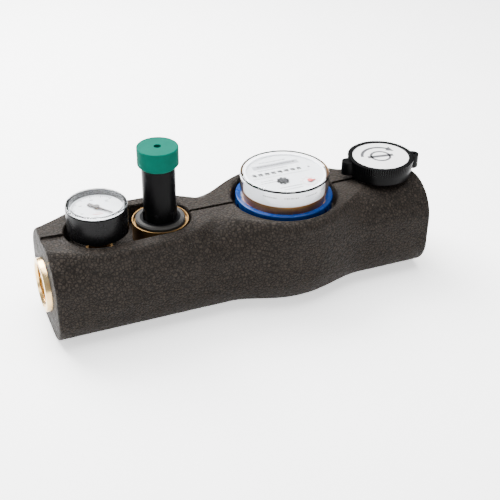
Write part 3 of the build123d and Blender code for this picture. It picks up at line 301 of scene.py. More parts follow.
# %% Material helpers
def start_material(name, **constants):
    """Material with a Principled shader and its plain values set."""
    material = bpy.data.materials.new(name)
    material.use_nodes = True
    shader = material.node_tree.nodes["Principled BSDF"]
    for label, value in constants.items():
        shader.inputs[label.replace("_", " ")].default_value = value
    return material, material.node_tree, shader


def two_tones(tree, mask, dark, pale, target, low=0.3, high=0.7):
    """Blend two colours by a mask between two levels, into a colour socket."""
    level_mask = tree.nodes.new("ShaderNodeMapRange")
    level_mask.inputs["From Min"].default_value = low
    level_mask.inputs["From Max"].default_value = high
    blend = tree.nodes.new("ShaderNodeMix")
    blend.data_type = "RGBA"
    blend.inputs["A"].default_value = (*dark, 1)
    blend.inputs["B"].default_value = (*pale, 1)
    wire(tree, mask, level_mask.inputs["Value"])
    wire(tree, level_mask.outputs["Result"], blend.inputs["Factor"])
    wire(tree, blend.outputs["Result"], target)
    return blend


def vary_value(tree, mask, least, most, target):
    """Spread a 0 to 1 mask between two values, into a number socket."""
    spread = tree.nodes.new("ShaderNodeMapRange")
    spread.inputs["To Min"].default_value = least
    spread.inputs["To Max"].default_value = most
    wire(tree, mask, spread.inputs["Value"])
    wire(tree, spread.outputs["Result"], target)


def raise_bump(tree, height, depth, shader):
    """Feed a height, in units of depth metres, to the shader's normal."""
    bump = tree.nodes.new("ShaderNodeBump")
    bump.inputs["Strength"].default_value = 1
    bump.inputs["Distance"].default_value = depth
    wire(tree, height, bump.inputs["Height"])
    wire(tree, bump.outputs["Normal"], shader.inputs["Normal"])


def place_group(tree, group, **values):
    """Put a shader group into a material, with its own numbers."""
    node = tree.nodes.new("ShaderNodeGroup")
    node.node_tree = group
    for label, value in values.items():
        node.inputs[label.replace("_", " ")].default_value = value
    return node


# %% [markdown]
# Plastics share one recipe: two close tones, a roughness that drifts with
# wear, and grain in the bump. What changes is colour, gloss and depth.


# %% Moulded plastics
def moulded_plastic(name, dark, pale, gloss, grain_depth=0.00002, shine=0.5):
    """Procedural moulded plastic; gloss is (least, most) roughness, shine its specular level."""
    material, tree, shader = start_material(name, Specular_IOR_Level=shine)
    skin = place_group(tree, MOULDED_GRAIN)
    two_tones(tree, skin.outputs["Wear"], dark, pale, shader.inputs["Base Color"])
    vary_value(tree, skin.outputs["Wear"], gloss[0], gloss[1], shader.inputs["Roughness"])
    raise_bump(tree, skin.outputs["Height"], grain_depth, shader)
    return material


gauge_black = moulded_plastic(
    "gauge_black", (0.002, 0.002, 0.0022), (0.0034, 0.0034, 0.0038), (0.2, 0.34), 0.000008, shine=0.09
)
reducer_black = moulded_plastic(
    "reducer_black", (0.0012, 0.0012, 0.0014), (0.0024, 0.0024, 0.0028), (0.26, 0.42), shine=0.045
)
knob_black = moulded_plastic(
    "knob_black", (0.0008, 0.0008, 0.0009), (0.002, 0.002, 0.0022), (0.22, 0.4), 0.00002, shine=0.05
)
cap_green = moulded_plastic(
    "cap_green", (0.0, 0.062, 0.044), (0.0, 0.08, 0.056), (0.5, 0.65), 0.00003, shine=0.02
)
clamp_grey = moulded_plastic(
    "clamp_grey", (0.011, 0.0105, 0.0098), (0.017, 0.016, 0.015), (0.45, 0.65), shine=0.2
)
ring_blue = moulded_plastic(
    "ring_blue", (0.0, 0.014, 0.085), (0.0, 0.022, 0.12), (0.2, 0.34), 0.00001, shine=0.15
)
register_white = moulded_plastic(
    "register_white", (0.76, 0.77, 0.8), (0.82, 0.83, 0.86), (0.35, 0.5), 0.00001, shine=0.3
)
inner_white = moulded_plastic("inner_white", (0.7, 0.7, 0.68), (0.8, 0.8, 0.78), (0.35, 0.55))
seat_white = moulded_plastic("seat_white", (0.72, 0.71, 0.67), (0.83, 0.82, 0.78), (0.4, 0.6))
dial_white = moulded_plastic(
    "dial_white", (0.53, 0.54, 0.56), (0.58, 0.59, 0.61), (0.4, 0.5), 0.000004, shine=0.3
)
label_white = moulded_plastic(
    "label_white", (0.58, 0.58, 0.58), (0.64, 0.64, 0.64), (0.35, 0.45), 0.000004, shine=0.3
)
star_grey = moulded_plastic(
    "star_grey", (0.004, 0.004, 0.0048), (0.008, 0.0083, 0.009), (0.35, 0.5), 0.000008, shine=0.15
)
pointer_red = moulded_plastic(
    "pointer_red", (0.32, 0.012, 0.01), (0.4, 0.022, 0.018), (0.35, 0.5), 0.000005
)
pointer_brown = moulded_plastic(
    "pointer_brown", (0.03, 0.023, 0.021), (0.045, 0.037, 0.034), (0.35, 0.5), 0.000005
)
wheel_black = moulded_plastic(
    "wheel_black", (0.003, 0.003, 0.003), (0.006, 0.006, 0.006), (0.45, 0.6), 0.00001
)
print_grey = moulded_plastic(
    "print_grey", (0.03, 0.03, 0.034), (0.045, 0.045, 0.05), (0.5, 0.6), 0.000002
)
print_pale = moulded_plastic(
    "print_pale", (0.23, 0.235, 0.25), (0.27, 0.275, 0.29), (0.5, 0.6), 0.000002
)
print_rose = moulded_plastic(
    "print_rose", (0.36, 0.12, 0.12), (0.42, 0.17, 0.16), (0.5, 0.6), 0.000002
)
print_white = moulded_plastic("print_white", (0.6, 0.6, 0.6), (0.7, 0.7, 0.7), (0.5, 0.6), 0.000002)
rubber_black = moulded_plastic(
    "rubber_black", (0.004, 0.004, 0.004), (0.009, 0.009, 0.009), (0.6, 0.85), 0.00003
)
print("plastics made:", len(bpy.data.materials))

# %% [markdown]
# The jacket's finish joins the two bead patterns. Beads differ a little in
# tone, seams are darker, and the broad sheen of soft foam comes from a rough
# surface with a warm grey base.


# %% Foam finish
FOAM_DARK = (0.0145, 0.0112, 0.0089)
FOAM_PALE = (0.027, 0.0218, 0.0178)
FOAM_SEAM = (0.006, 0.0048, 0.0038)
BEAD_BUMP = 0.34 * MM


def make_jacket_foam():
    """Warm charcoal bead foam."""
    material, tree, shader = start_material("jacket_foam", Specular_IOR_Level=0.08)
    beads = place_group(tree, FOAM_BEADS)
    base_colour = shader.inputs["Base Color"]
    tone = two_tones(tree, beads.outputs["Tone"], FOAM_DARK, FOAM_PALE, base_colour, 0, 1)
    seam = tree.nodes.new("ShaderNodeMix")
    seam.data_type = "RGBA"
    seam.inputs["A"].default_value = (*FOAM_SEAM, 1)
    wire(tree, beads.outputs["Seam"], seam.inputs["Factor"])
    wire(tree, tone.outputs["Result"], seam.inputs["B"])
    wire(tree, seam.outputs["Result"], base_colour)
    vary_value(tree, beads.outputs["Tone"], 0.48, 0.7, shader.inputs["Roughness"])
    raise_bump(tree, beads.outputs["Height"], BEAD_BUMP, shader)
    return material


jacket_foam = make_jacket_foam()
print("foam seams are darker than the beads by:", round(FOAM_DARK[0] / FOAM_SEAM[0], 1), "times")

# %% [markdown]
# Metals: a turned brass with faint rings and tarnish, a drawn steel for
# springs and pins, and a mirror-like chrome ball.


# %% Metals
def turned_metal(name, dark, pale, gloss, depth=0.000006, lines=(40.0, 40.0, 4000.0)):
    """Metal with tool rings; lines are the ring counts per metre along X, Y, Z."""
    material, tree, shader = start_material(name, Metallic=1.0)
    marks = place_group(tree, TURNING_MARKS, Lines_X=lines[0], Lines_Y=lines[1], Lines_Z=lines[2])
    two_tones(tree, marks.outputs["Tarnish"], dark, pale, shader.inputs["Base Color"], 0.25, 0.6)
    vary_value(tree, marks.outputs["Tarnish"], gloss[1], gloss[0], shader.inputs["Roughness"])
    raise_bump(tree, marks.outputs["Height"], depth, shader)
    return material


ALONG_X = (4000.0, 40.0, 40.0)
brass_upright = turned_metal("brass_upright", (0.34, 0.19, 0.06), (0.50, 0.31, 0.11), (0.22, 0.4))
brass_socket = turned_metal(
    "brass_socket", (0.60, 0.38, 0.15), (0.78, 0.56, 0.27), (0.14, 0.28), lines=ALONG_X
)
brass_warm = turned_metal("brass_warm", (0.30, 0.14, 0.045), (0.40, 0.21, 0.075), (0.28, 0.45))
steel_drawn = turned_metal("steel_drawn", (0.26, 0.26, 0.27), (0.36, 0.36, 0.37), (0.2, 0.35))
chrome_ball = turned_metal(
    "chrome_ball", (0.75, 0.75, 0.77), (0.85, 0.85, 0.87), (0.04, 0.09), 0.000001
)
print("all materials:", len(bpy.data.materials))

# %% [markdown]
# The valve body under the foam is raw cast brass that has gone dull and
# brown, so only the turned sockets and the dial's collar shine.

# %% Dull brass of the body
brass_cast = turned_metal(
    "brass_cast", (0.10, 0.055, 0.018), (0.20, 0.12, 0.045), (0.34, 0.55), 0.00002
)
print("brass finishes:", [m.name for m in bpy.data.materials if m.name.startswith("brass")])

# %% [markdown]
# Clear covers need one trick. A renderer lets little light through real
# refracting plastic into a closed dial, so the dial turns murky. For shadow
# rays only, the Light Path node swaps the cover for plain transparency: the
# cover still bends and reflects for the eye, and light still gets in.


# %% Clear plastic
SHADOW_TINT = (0.93, 0.94, 0.94)


def clear_plastic(name, tint, roughness):
    """Refracting plastic that doesn't darken what it covers."""
    material, tree, shader = start_material(name, Transmission_Weight=1.0, IOR=1.46)
    shader.inputs["Base Color"].default_value = (*tint, 1)
    smears = place_group(tree, MOULDED_GRAIN, Patches_per_metre=120.0)
    vary_value(tree, smears.outputs["Wear"], roughness[0], roughness[1], shader.inputs["Roughness"])
    opening = tree.nodes.new("ShaderNodeBsdfTransparent")
    opening.inputs["Color"].default_value = (*SHADOW_TINT, 1)
    path = tree.nodes.new("ShaderNodeLightPath")
    swap = tree.nodes.new("ShaderNodeMixShader")
    wire(tree, path.outputs["Is Shadow Ray"], swap.inputs["Fac"])
    wire(tree, shader.outputs["BSDF"], swap.inputs[1])
    wire(tree, opening.outputs["BSDF"], swap.inputs[2])
    wire(tree, swap.outputs["Shader"], tree.nodes["Material Output"].inputs["Surface"])
    return material


lens_clear = clear_plastic("lens_clear", (0.99, 0.995, 1.0), (0.0, 0.02))

print("clear covers let through:", round(SHADOW_TINT[0], 2))

# %% [markdown]
# The floor is a matt white sheet with faint cloudy patches. A little light of
# its own keeps it pale to the edge of the view, as a lit studio table is.

# %% Floor finish
FLOOR_DARK = (0.87, 0.87, 0.87)
FLOOR_PALE = (0.89, 0.89, 0.89)
FLOOR_GLOW = 1.1
floor_white, floor_tree, floor_shader = start_material("floor_white", Specular_IOR_Level=0.2)
floor_skin = place_group(floor_tree, MOULDED_GRAIN, Grains_per_metre=400.0, Patches_per_metre=3.0)
floor_colour = floor_shader.inputs["Base Color"]
two_tones(floor_tree, floor_skin.outputs["Wear"], FLOOR_DARK, FLOOR_PALE, floor_colour)
floor_shader.inputs["Roughness"].default_value = 0.7
floor_shader.inputs["Emission Color"].default_value = (1, 1, 1, 1)
floor_shader.inputs["Emission Strength"].default_value = FLOOR_GLOW
floor.data.materials.append(floor_white)
print("floor glow:", FLOOR_GLOW)

# %% [markdown]
# Now every frame node gets its finish. The frame's own record says which
# material slot a node belongs to, so one table from slot to finish dresses
# the whole object, and no node can be forgotten.

# %% Dress the frame nodes
FINISH_OF_SLOT = {
    "brass": brass_upright,
    "jacket_foam": jacket_foam,
    "gauge_black": gauge_black,
    "clear_plastic": lens_clear,
    "dial_white": dial_white,
    "pointer_paint": pointer_brown,
    "reducer_black": reducer_black,
    "ring_grey": clamp_grey,
    "cap_green": cap_green,
    "steel": steel_drawn,
    "rubber": rubber_black,
    "ring_blue": ring_blue,
    "white_plastic": inner_white,
    "knob_black": knob_black,
    "label_white": label_white,
    "ball_chrome": chrome_ball,
    "seat_white": seat_white,
    "star_grey": star_grey,
    "pointer_red": pointer_red,
    "wheel_black": wheel_black,
}
FINISH_OF_NODE = {"meter_head": brass_warm, "register_cup": register_white, "brass_body": brass_cast}


def dress(piece, finish):
    """Give a mesh object one material and nothing else."""
    piece.data.materials.clear()
    piece.data.materials.append(finish)


for entry in frame["record"]["subparts"]:
    node_name = entry["node"]
    dress(nodes[node_name], FINISH_OF_NODE.get(node_name, FINISH_OF_SLOT[entry["material_slot"]]))
print("frame nodes dressed:", len(nodes))

# %% [markdown]
# ## Tools for making pieces
# Every piece is a mesh made from points and faces, so one function makes the
# object, gives it a finish, and names the body it moves with. Its faces are
# smooth except across sharp edges.


# %% Make a piece
def add_piece(name, points, faces, finish, body, sharp=35.0):
    """Mesh object in metres that rides on a body."""
    mesh = bpy.data.meshes.new(name)
    mesh.from_pydata([tuple(p) for p in points], [], faces)
    mesh.update()
    shell = bmesh.new()
    shell.from_mesh(mesh)
    bmesh.ops.recalc_face_normals(shell, faces=shell.faces)
    shell.to_mesh(mesh)
    shell.free()
    mesh.shade_smooth()
    mesh.set_sharp_from_angle(angle=radians(sharp))
    mesh.materials.append(finish)
    piece = bpy.data.objects.new(name, mesh)
    bpy.context.scene.collection.objects.link(piece)
    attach(piece, body)
    return piece


# %% [markdown]
# Pads of ink are thin slabs a few hundredths of a millimetre proud of the
# dial: flat outlines given a little height. One function raises a list of
# outlines, and small functions draw a bar, an arc and a dot.


# %% Printed marks
INK = 0.06 * MM


def raise_outlines(name, outlines, low, finish, body, slot_name, ink=INK):
    """Thin closed slabs from flat outlines (lists of x, y in metres)."""
    points, faces = [], []
    for outline in outlines:
        start, count = len(points), len(outline)
        points += [(x, y, low) for x, y in outline]
        points += [(x, y, low + ink) for x, y in outline]
        faces.append([start + i for i in reversed(range(count))])
        faces.append([start + count + i for i in range(count)])
        for i in range(count):
            j = (i + 1) % count
            faces.append([start + i, start + j, start + count + j, start + count + i])
    return add_piece(name, points, faces, finish, body)


def bar(x, y, length, width, angle=0.0):
    """Outline of a bar centred on a point, turned by an angle."""
    half, side = length / 2, width / 2
    corners = ((-half, -side), (half, -side), (half, side), (-half, side))
    turned = []
    for u, v in corners:
        turned.append((x + u * cos(angle) - v * sin(angle), y + u * sin(angle) + v * cos(angle)))
    return turned


def disc(x, y, radius, steps=32):
    """Outline of a round dot."""
    return [(x + radius * cos(tau * i / steps), y + radius * sin(tau * i / steps)) for i in range(steps)]


def arc_pieces(x, y, radius, width, start, end, steps):
    """A curved line as short outlines end to end, angles in radians."""
    outlines = []
    for i in range(steps):
        a = start + (end - start) * i / steps
        b = start + (end - start) * (i + 1) / steps
        inner, outer = radius - width / 2, radius + width / 2
        outlines.append(
            [
                (x + inner * cos(a), y + inner * sin(a)),
                (x + outer * cos(a), y + outer * sin(a)),
                (x + outer * cos(b), y + outer * sin(b)),
                (x + inner * cos(b), y + inner * sin(b)),
            ]
        )
    return outlines


def numeral(text, x, y, size, angle, low, name, finish, body, slot_name, ink=INK):
    """Plain numerals as a flat mesh, centred on a point and turned."""
    curve = bpy.data.curves.new(name + "_curve", "FONT")
    curve.body = text
    curve.size = size
    curve.align_x = "CENTER"
    curve.align_y = "CENTER"
    curve.extrude = ink / 2
    curve.resolution_u = 3
    holder = bpy.data.objects.new(name + "_text", curve)
    mesh = bpy.data.meshes.new_from_object(holder)
    mesh.transform(Matrix.Translation((x, y, low + ink / 2)) @ Matrix.Rotation(angle, 4, "Z"))
    bpy.data.objects.remove(holder)
    mesh.materials.clear()
    mesh.materials.append(finish)
    piece = bpy.data.objects.new(name, mesh)
    bpy.context.scene.collection.objects.link(piece)
    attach(piece, body)
    return piece


def join_pieces(name, parts):
    """Merge several pieces of one body into the first, under a new name."""
    bpy.ops.object.select_all(action="DESELECT")
    for part in parts:
        part.select_set(True)
    bpy.context.view_layer.objects.active = parts[0]
    bpy.ops.object.join()
    parts[0].name = name
    return parts[0]


# %% [markdown]
# ## The foam jacket
# A CAD union meets in hard creases, but moulded foam flows from one form to
# the next. So the outer skin is made from a distance formula: each simple
# form says how far a point is from its surface, and a smooth minimum of those
# distances rounds every meeting line like wet clay. The forms are a straight
# tube, a plateau round gauge and reducer, and a turret with a round belly round
# the meter. The frame gives the length, the height and the turret's radius; the
# other sizes repeat the design's numbers and change only if typed in here.

# %% Sizes of the jacket forms
FRONT_LOW, FRONT_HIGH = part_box("front_jacket")
HALF_LENGTH = FRONT_HIGH.x
HEIGHT = FRONT_HIGH.z
PARTING = -FRONT_HIGH.y
TURRET_R = -FRONT_LOW.y
TUBE_HALF = 37.5 * MM
TUBE_TOP_CORNER = 28.5 * MM
TUBE_BASE_CORNER = 26 * MM
PLATEAU_R = TUBE_HALF
NARROW_R = 35.5 * MM
PLATEAU_END_HALF = 12 * MM
POCKET_AT_GAUGE = 25 * MM
POCKET_AT_REDUCER = 23 * MM
METER_POCKET = 41 * MM
PLATEAU_DROP = 10 * MM
PLATEAU_EDGE = 6 * MM
TURRET_TOP_CORNER = 8 * MM
TURRET_BASE_CORNER = 33 * MM
PLATEAU_BLEND = 9 * MM
TURRET_BLEND = 20 * MM
print("turret radius in mm:", round(TURRET_R / MM, 2), "parting gap:", round(2 * PARTING / MM, 2))


# %% Distance formulas
def rounded_box_distance(u, v, half_u, half_v, corner):
    """Distance to a 2-D box with rounded corners; corner may vary by point."""
    a = np.abs(u) - half_u + corner
    b = np.abs(v) - half_v + corner
    outside = np.hypot(np.maximum(a, 0), np.maximum(b, 0))
    return outside + np.minimum(np.maximum(a, b), 0) - corner


def uneven_capsule_distance(x, y, start, end, start_r, end_r):
    """Distance in plan to two circles joined by their common tangents."""
    span = end - start
    slope = (start_r - end_r) / span
    along = x - start
    side = np.abs(y)
    rise = sqrt(1 - slope * slope)
    k = along * rise - side * slope
    low = np.hypot(along, side) - start_r
    high = np.hypot(along - span, side) - end_r
    flank = along * slope + side * rise - start_r
    return np.where(k < 0, low, np.where(k > span * rise, high, flank))


def smooth_minimum(a, b, reach):
    """Lower of two distances, with the crease filled over a given reach."""
    overlap = np.maximum(reach - np.abs(a - b), 0) / reach
    return np.minimum(a, b) - overlap * overlap * reach / 4


def raised(flat, z, floor_z, top_z, edge):
    """Upright prism of a flat distance, its rims rounded by edge."""
    middle_z, half_z = (floor_z + top_z) / 2, (top_z - floor_z) / 2
    a = flat + edge
    b = np.abs(z - middle_z) - half_z + edge
    outside = np.hypot(np.maximum(a, 0), np.maximum(b, 0))
    return outside + np.minimum(np.maximum(a, b), 0) - edge


def jacket_distance(x, y, z):
    """Distance to the jacket's whole outer skin, nests not counted."""
    level_z = z - HEIGHT / 2
    corner = np.where(level_z > 0, TUBE_TOP_CORNER, TUBE_BASE_CORNER)
    tube = rounded_box_distance(y, level_z, TUBE_HALF, HEIGHT / 2, corner)
    plan = uneven_capsule_distance(x, y, GAUGE.x, REDUCER.x, PLATEAU_R, NARROW_R)
    wedge = uneven_capsule_distance(x, y, -HALF_LENGTH, GAUGE.x, PLATEAU_END_HALF, PLATEAU_R)
    plateau = raised(np.minimum(plan, wedge), z, HEIGHT / 2 - PLATEAU_DROP, HEIGHT, PLATEAU_EDGE)
    ring_distance = np.hypot(x - METER.x, y)
    turret_corner = np.where(level_z > 0, TURRET_TOP_CORNER, TURRET_BASE_CORNER)
    turret = rounded_box_distance(ring_distance, level_z, TURRET_R, HEIGHT / 2, turret_corner)
    skin = smooth_minimum(tube, plateau, PLATEAU_BLEND)
    return smooth_minimum(skin, turret, TURRET_BLEND)


# %% [markdown]
# The skin is a grid: stations along the length, and rays fanned from the flow
# axis at every station. Along each ray we halve the gap between inside and
# outside until the surface is found. Both halves use the same grid, mirrored.
# The ends are rounded by pulling the first and last stations in a little.

# %% Find the skin
END_ROUND = 1.6 * MM
END_ROWS = 4
FARTHEST = 100 * MM
HALVINGS = 26
STATIONS = 400
RAYS = 176


def jacket_stations():
    """Stations along X with how much each is pulled in at the rounded ends."""
    inner = np.linspace(-HALF_LENGTH + END_ROUND, HALF_LENGTH - END_ROUND, STATIONS)
    turns = np.linspace(pi / 2, 0, END_ROWS + 1)[:-1]
    left = [(-HALF_LENGTH + END_ROUND * (1 - sin(t)), END_ROUND * (1 - cos(t))) for t in turns]
    right = [(-x, pull) for x, pull in reversed(left)]
    return left + [(x, 0.0) for x in inner] + right


def find_skin():
    """Ray lengths from the flow axis, one row for each station."""
    rows = jacket_stations()
    x = np.array([row[0] for row in rows])[:, None]
    pull = np.array([row[1] for row in rows])[:, None]
    angle = np.linspace(-pi / 2, pi / 2, RAYS)[None, :]
    ray_y, ray_z = -np.cos(angle), np.sin(angle)
    near = np.zeros((len(rows), RAYS))
    far = np.full((len(rows), RAYS), FARTHEST)
    for _ in range(HALVINGS):
        middle_r = (near + far) / 2
        inside = jacket_distance(x, middle_r * ray_y, AXIS_Z + middle_r * ray_z) < 0
        near = np.where(inside, middle_r, near)
        far = np.where(inside, far, middle_r)
    y = near * ray_y
    z = AXIS_Z + near * ray_z
    y = np.maximum(y, -TURRET_R)
    z = np.clip(z, 0, HEIGHT)
    shrink = 1 - pull / np.maximum(near, 1e-6)
    return x + 0 * y, y * shrink, AXIS_Z + (z - AXIS_Z) * shrink


SKIN_X, SKIN_Y, SKIN_Z = find_skin()
print("skin grid:", SKIN_X.shape, "widest in mm:", round(-SKIN_Y.min() / MM, 1))

# %% [markdown]
# Beads are real relief, not only shading: each grid point is pressed in by up
# to about a third of a millimetre where a seam between beads runs. The pressing
# goes inwards only, so the jacket keeps its outer size, and it fades on the
# flat tops, where the mould was smoother.


# %% Press the bead pattern in
BEAD = 2.3 * MM
SEAM_DEPTH = 0.36 * MM
SEAM_SHARE = 0.35
TOP_FADE = 0.65
FLOOR_BAND = 0.4 * MM


def press_beads(x, y, z):
    """Distance by which a skin point sinks at a bead seam."""
    distances, _ = noise.voronoi(Vector((x / BEAD, y / BEAD, z / BEAD)))
    seam = max(0.0, 1 - (distances[1] - distances[0]) / SEAM_SHARE)
    flat_top = min(1.0, max(0.0, (z - HEIGHT + 3 * MM) / (2 * MM)))
    return SEAM_DEPTH * seam * (1 - TOP_FADE * flat_top)


def half_shell(name, side):
    """Closed solid of one half, before its nests and pockets are cut."""
    rows, columns = SKIN_X.shape
    points = []
    for i in range(rows):
        for j in range(columns):
            x, y, z = SKIN_X[i, j], SKIN_Y[i, j], SKIN_Z[i, j]
            on_floor = z < FLOOR_BAND
            at_end = i < END_ROWS or i >= rows - END_ROWS
            press = 0.0 if on_floor or at_end else press_beads(x, side * y, z)
            reach = max(sqrt(y * y + (z - AXIS_Z) ** 2), 1e-6)
            y, z = y * (1 - press / reach), AXIS_Z + (z - AXIS_Z) * (1 - press / reach)
            points.append((x, -side * min(y, -PARTING), z))
    faces = []
    for i in range(rows - 1):
        for j in range(columns - 1):
            a = i * columns + j
            faces.append((a, a + columns, a + columns + 1, a + 1))
        faces.append((i * columns, i * columns + columns - 1, (i + 2) * columns - 1, (i + 1) * columns))
    faces.append(list(range(columns)))
    faces.append([(rows - 1) * columns + j for j in range(columns)])
    body = "front_shell" if side < 0 else "rear_shell"
    return add_piece(name, points, faces, jacket_foam, body, sharp=50)


# %% [markdown]
# The cutters for nests and pockets are stacks of outlines. An outline is
# drawn at several heights and skinned, so a pocket's rim can flare outwards
# along a quarter circle: cut with it, and the foam edge comes out rounded.


# %% Cutters
def stack(name, layers):
    """Closed solid through outlines of equal length, each (outline, z)."""
    count = len(layers[0][0])
    points = [(x, y, z) for outline, z in layers for x, y in outline]
    faces = [list(reversed(range(count)))]
    for layer in range(len(layers) - 1):
        low = layer * count
        for i in range(count):
            j = (i + 1) % count
            faces.append((low + i, low + j, low + count + j, low + count + i))
    faces.append([(len(layers) - 1) * count + i for i in range(count)])
    mesh = bpy.data.meshes.new(name)
    mesh.from_pydata(points, [], faces)
    mesh.update()
    cutter = bpy.data.objects.new(name, mesh)
    bpy.context.scene.collection.objects.link(cutter)
    return cutter


def egg_outline(start, end, start_r, end_r, grow, steps=96):
    """Two circles on the X axis joined by tangents, grown by a margin."""
    slope = acos((start_r - end_r) / (end - start))
    outline = []
    for i in range(steps):
        angle = -pi + tau * i / steps
        centre, radius = (end, end_r) if abs(angle) < slope else (start, start_r)
        outline.append((centre + (radius + grow) * cos(angle), (radius + grow) * sin(angle)))
    return outline


def round_outline(x, radius, steps=96):
    """Circle on the X axis."""
    return [(x + radius * cos(tau * i / steps), radius * sin(tau * i / steps)) for i in range(steps)]


def flared(outline_at, floor_z, top_z, lip):
    """Layers of a pocket whose rim flares by a quarter circle of radius lip."""
    layers = [(outline_at(0), floor_z), (outline_at(0), top_z - lip)]
    for step in range(1, 7):
        turn = step / 6 * pi / 2
        layers.append((outline_at(lip * (1 - cos(turn))), top_z - lip + lip * sin(turn)))
    layers.append((outline_at(lip), top_z + 5 * MM))
    return layers


def lying_bore(name, low_x, high_x, radius):
    """Cutter for a bore along the flow axis."""
    cutter = stack(name, [(round_outline(0, radius), low_x), (round_outline(0, radius), high_x)])
    tip_over = Matrix(((0, 0, 1, 0), (0, 1, 0, 0), (-1, 0, 0, 0), (0, 0, 0, 1)))
    cutter.data.transform(Matrix.Translation((0, 0, AXIS_Z)) @ tip_over)
    return cutter


# %% [markdown]
# The nests follow the brass with a small gap, as the foam does; their heights
# and radii repeat the design's numbers. Pocket floors lie well below the rim,
# deep enough to stay dark from any view.

# %% Make the cutters
FIT = 0.3 * MM
POCKET_FLOOR = HEIGHT - 16 * MM
LIP = 1.4 * MM
METER_LIP = 3 * MM
STEM_HOLE_R = 13 * MM
TUBE_R = 19 * MM
SOCKET_R = 20.25 * MM
SOCKET_BACK = 144 * MM
# name, place along X, floor, top and radius of each upright nest
NESTS = (
    ("gauge_nest", GAUGE.x, AXIS_Z, 60 * MM, 10 * MM),
    ("reducer_nest", REDUCER.x, 13 * MM, 74.5 * MM, 21 * MM),
    ("bowl_nest", METER.x, 16 * MM, 66 * MM, 36 * MM),
    ("stem_nest", KNOB.x, AXIS_Z, 62 * MM, 11 * MM),
)


def boss(name, x, low, high, radius):
    """Upright round nest with the fit gap round it."""
    outline = round_outline(x, radius + FIT)
    return stack(name, [(outline, low - FIT), (outline, high + FIT)])


def groove_cutter():
    """Shallow slot along the parting line, opening to a notch at the left end."""
    slot_half, notch_half, depth = 1.5 * MM, 4 * MM, 2 * MM
    left, right, meet = -HALF_LENGTH - MM, HALF_LENGTH + MM, GAUGE.x
    near_side = [(left, -notch_half), (meet, -slot_half), (right, -slot_half)]
    outline = near_side + [(x, -y) for x, y in reversed(near_side)]
    return stack("groove_cut", [(outline, HEIGHT - depth), (outline, HEIGHT + 5 * MM)])


def make_cutters():
    """All cutters of the jacket, in the frame's place."""

    def pocket(grow):
        return egg_outline(GAUGE.x, REDUCER.x, POCKET_AT_GAUGE, POCKET_AT_REDUCER, grow)

    def meter_pocket(grow):
        return round_outline(METER.x, METER_POCKET + grow, 160)

    def stem_hole(grow):
        return round_outline(KNOB.x, STEM_HOLE_R + grow)

    left, right = -HALF_LENGTH - MM, HALF_LENGTH + MM
    return [
        stack("pocket_cut", flared(pocket, POCKET_FLOOR, HEIGHT, LIP)),
        stack("meter_cut", flared(meter_pocket, POCKET_FLOOR, HEIGHT, METER_LIP)),
        stack("stem_cut", flared(stem_hole, POCKET_FLOOR, HEIGHT, LIP)),
        *[boss(*nest) for nest in NESTS],
        lying_bore("tube_nest", left, right, TUBE_R + FIT),
        lying_bore("left_nest", left, -SOCKET_BACK + FIT, SOCKET_R + FIT),
        lying_bore("right_nest", SOCKET_BACK - FIT, right, SOCKET_R + FIT),
        groove_cutter(),
    ]


# %% [markdown]
# Cutting is a stack of Boolean modifiers, applied at once so the piece is a
# plain mesh in the end. The manifold solver is fast and exact on closed
# meshes like these. The cutters are removed afterwards.


# %% Cut both halves
def cut_and_clean(piece, cutters):
    """Subtract every cutter from a piece and bake the result."""
    for cutter in cutters:
        modifier = piece.modifiers.new(cutter.name, "BOOLEAN")
        modifier.operation = "DIFFERENCE"
        modifier.solver = "MANIFOLD"
        modifier.object = cutter
    bpy.context.view_layer.update()
    result = bpy.data.meshes.new_from_object(piece.evaluated_get(bpy.context.evaluated_depsgraph_get()))
    piece.modifiers.clear()
    piece.data = result
    result.shade_smooth()
    result.set_sharp_from_angle(angle=radians(50))
    result.materials.clear()
    result.materials.append(jacket_foam)
    return piece


jacket_cutters = make_cutters()
print("cutters:", len(jacket_cutters))
HALVES = (("foam_front", "front_jacket", -1), ("foam_rear", "rear_jacket", 1))
for half_name, half_node, half_side in HALVES:
    half = cut_and_clean(half_shell(half_name, half_side), jacket_cutters)
    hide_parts(half_node)
    print(half_name, "faces:", len(half.data.polygons))
for cutter in jacket_cutters:
    bpy.data.objects.remove(cutter)

# %% [markdown]
# ## Threaded end sockets
# The frame's sockets are plain rings, because a thread matters to the eye
# only. We lathe them again as rings of points. In the bore the radius follows
# a saw-tooth wave that slips by one turn per pitch, and that slip is all a
# helix is. The teeth are clipped, like a real pipe thread's crests.

# %% Cut the pipe threads
THREAD_PITCH = 25.4 / 11 * MM
THREAD_CREST = 15.15 * MM
THREAD_ROOT = 16.6 * MM
THREAD_DEPTH = 15 * MM
COLLAR = 10 * MM
SPIGOT_R = 17.5 * MM
WAY_R = 9 * MM
SOCKET_STEPS = 144


def thread_radius(depth, angle):
    """Bore radius at a depth behind the face, with a lead-in cone."""
    turn = (depth / THREAD_PITCH + angle / tau) % 1.0
    tooth = min(1.0, max(0.0, 1.3 * abs(2 * turn - 1) - 0.15))
    radius = THREAD_CREST + (THREAD_ROOT - THREAD_CREST) * tooth
    lead_in = THREAD_ROOT + 0.5 * MM - 0.9 * depth
    return max(radius, lead_in)


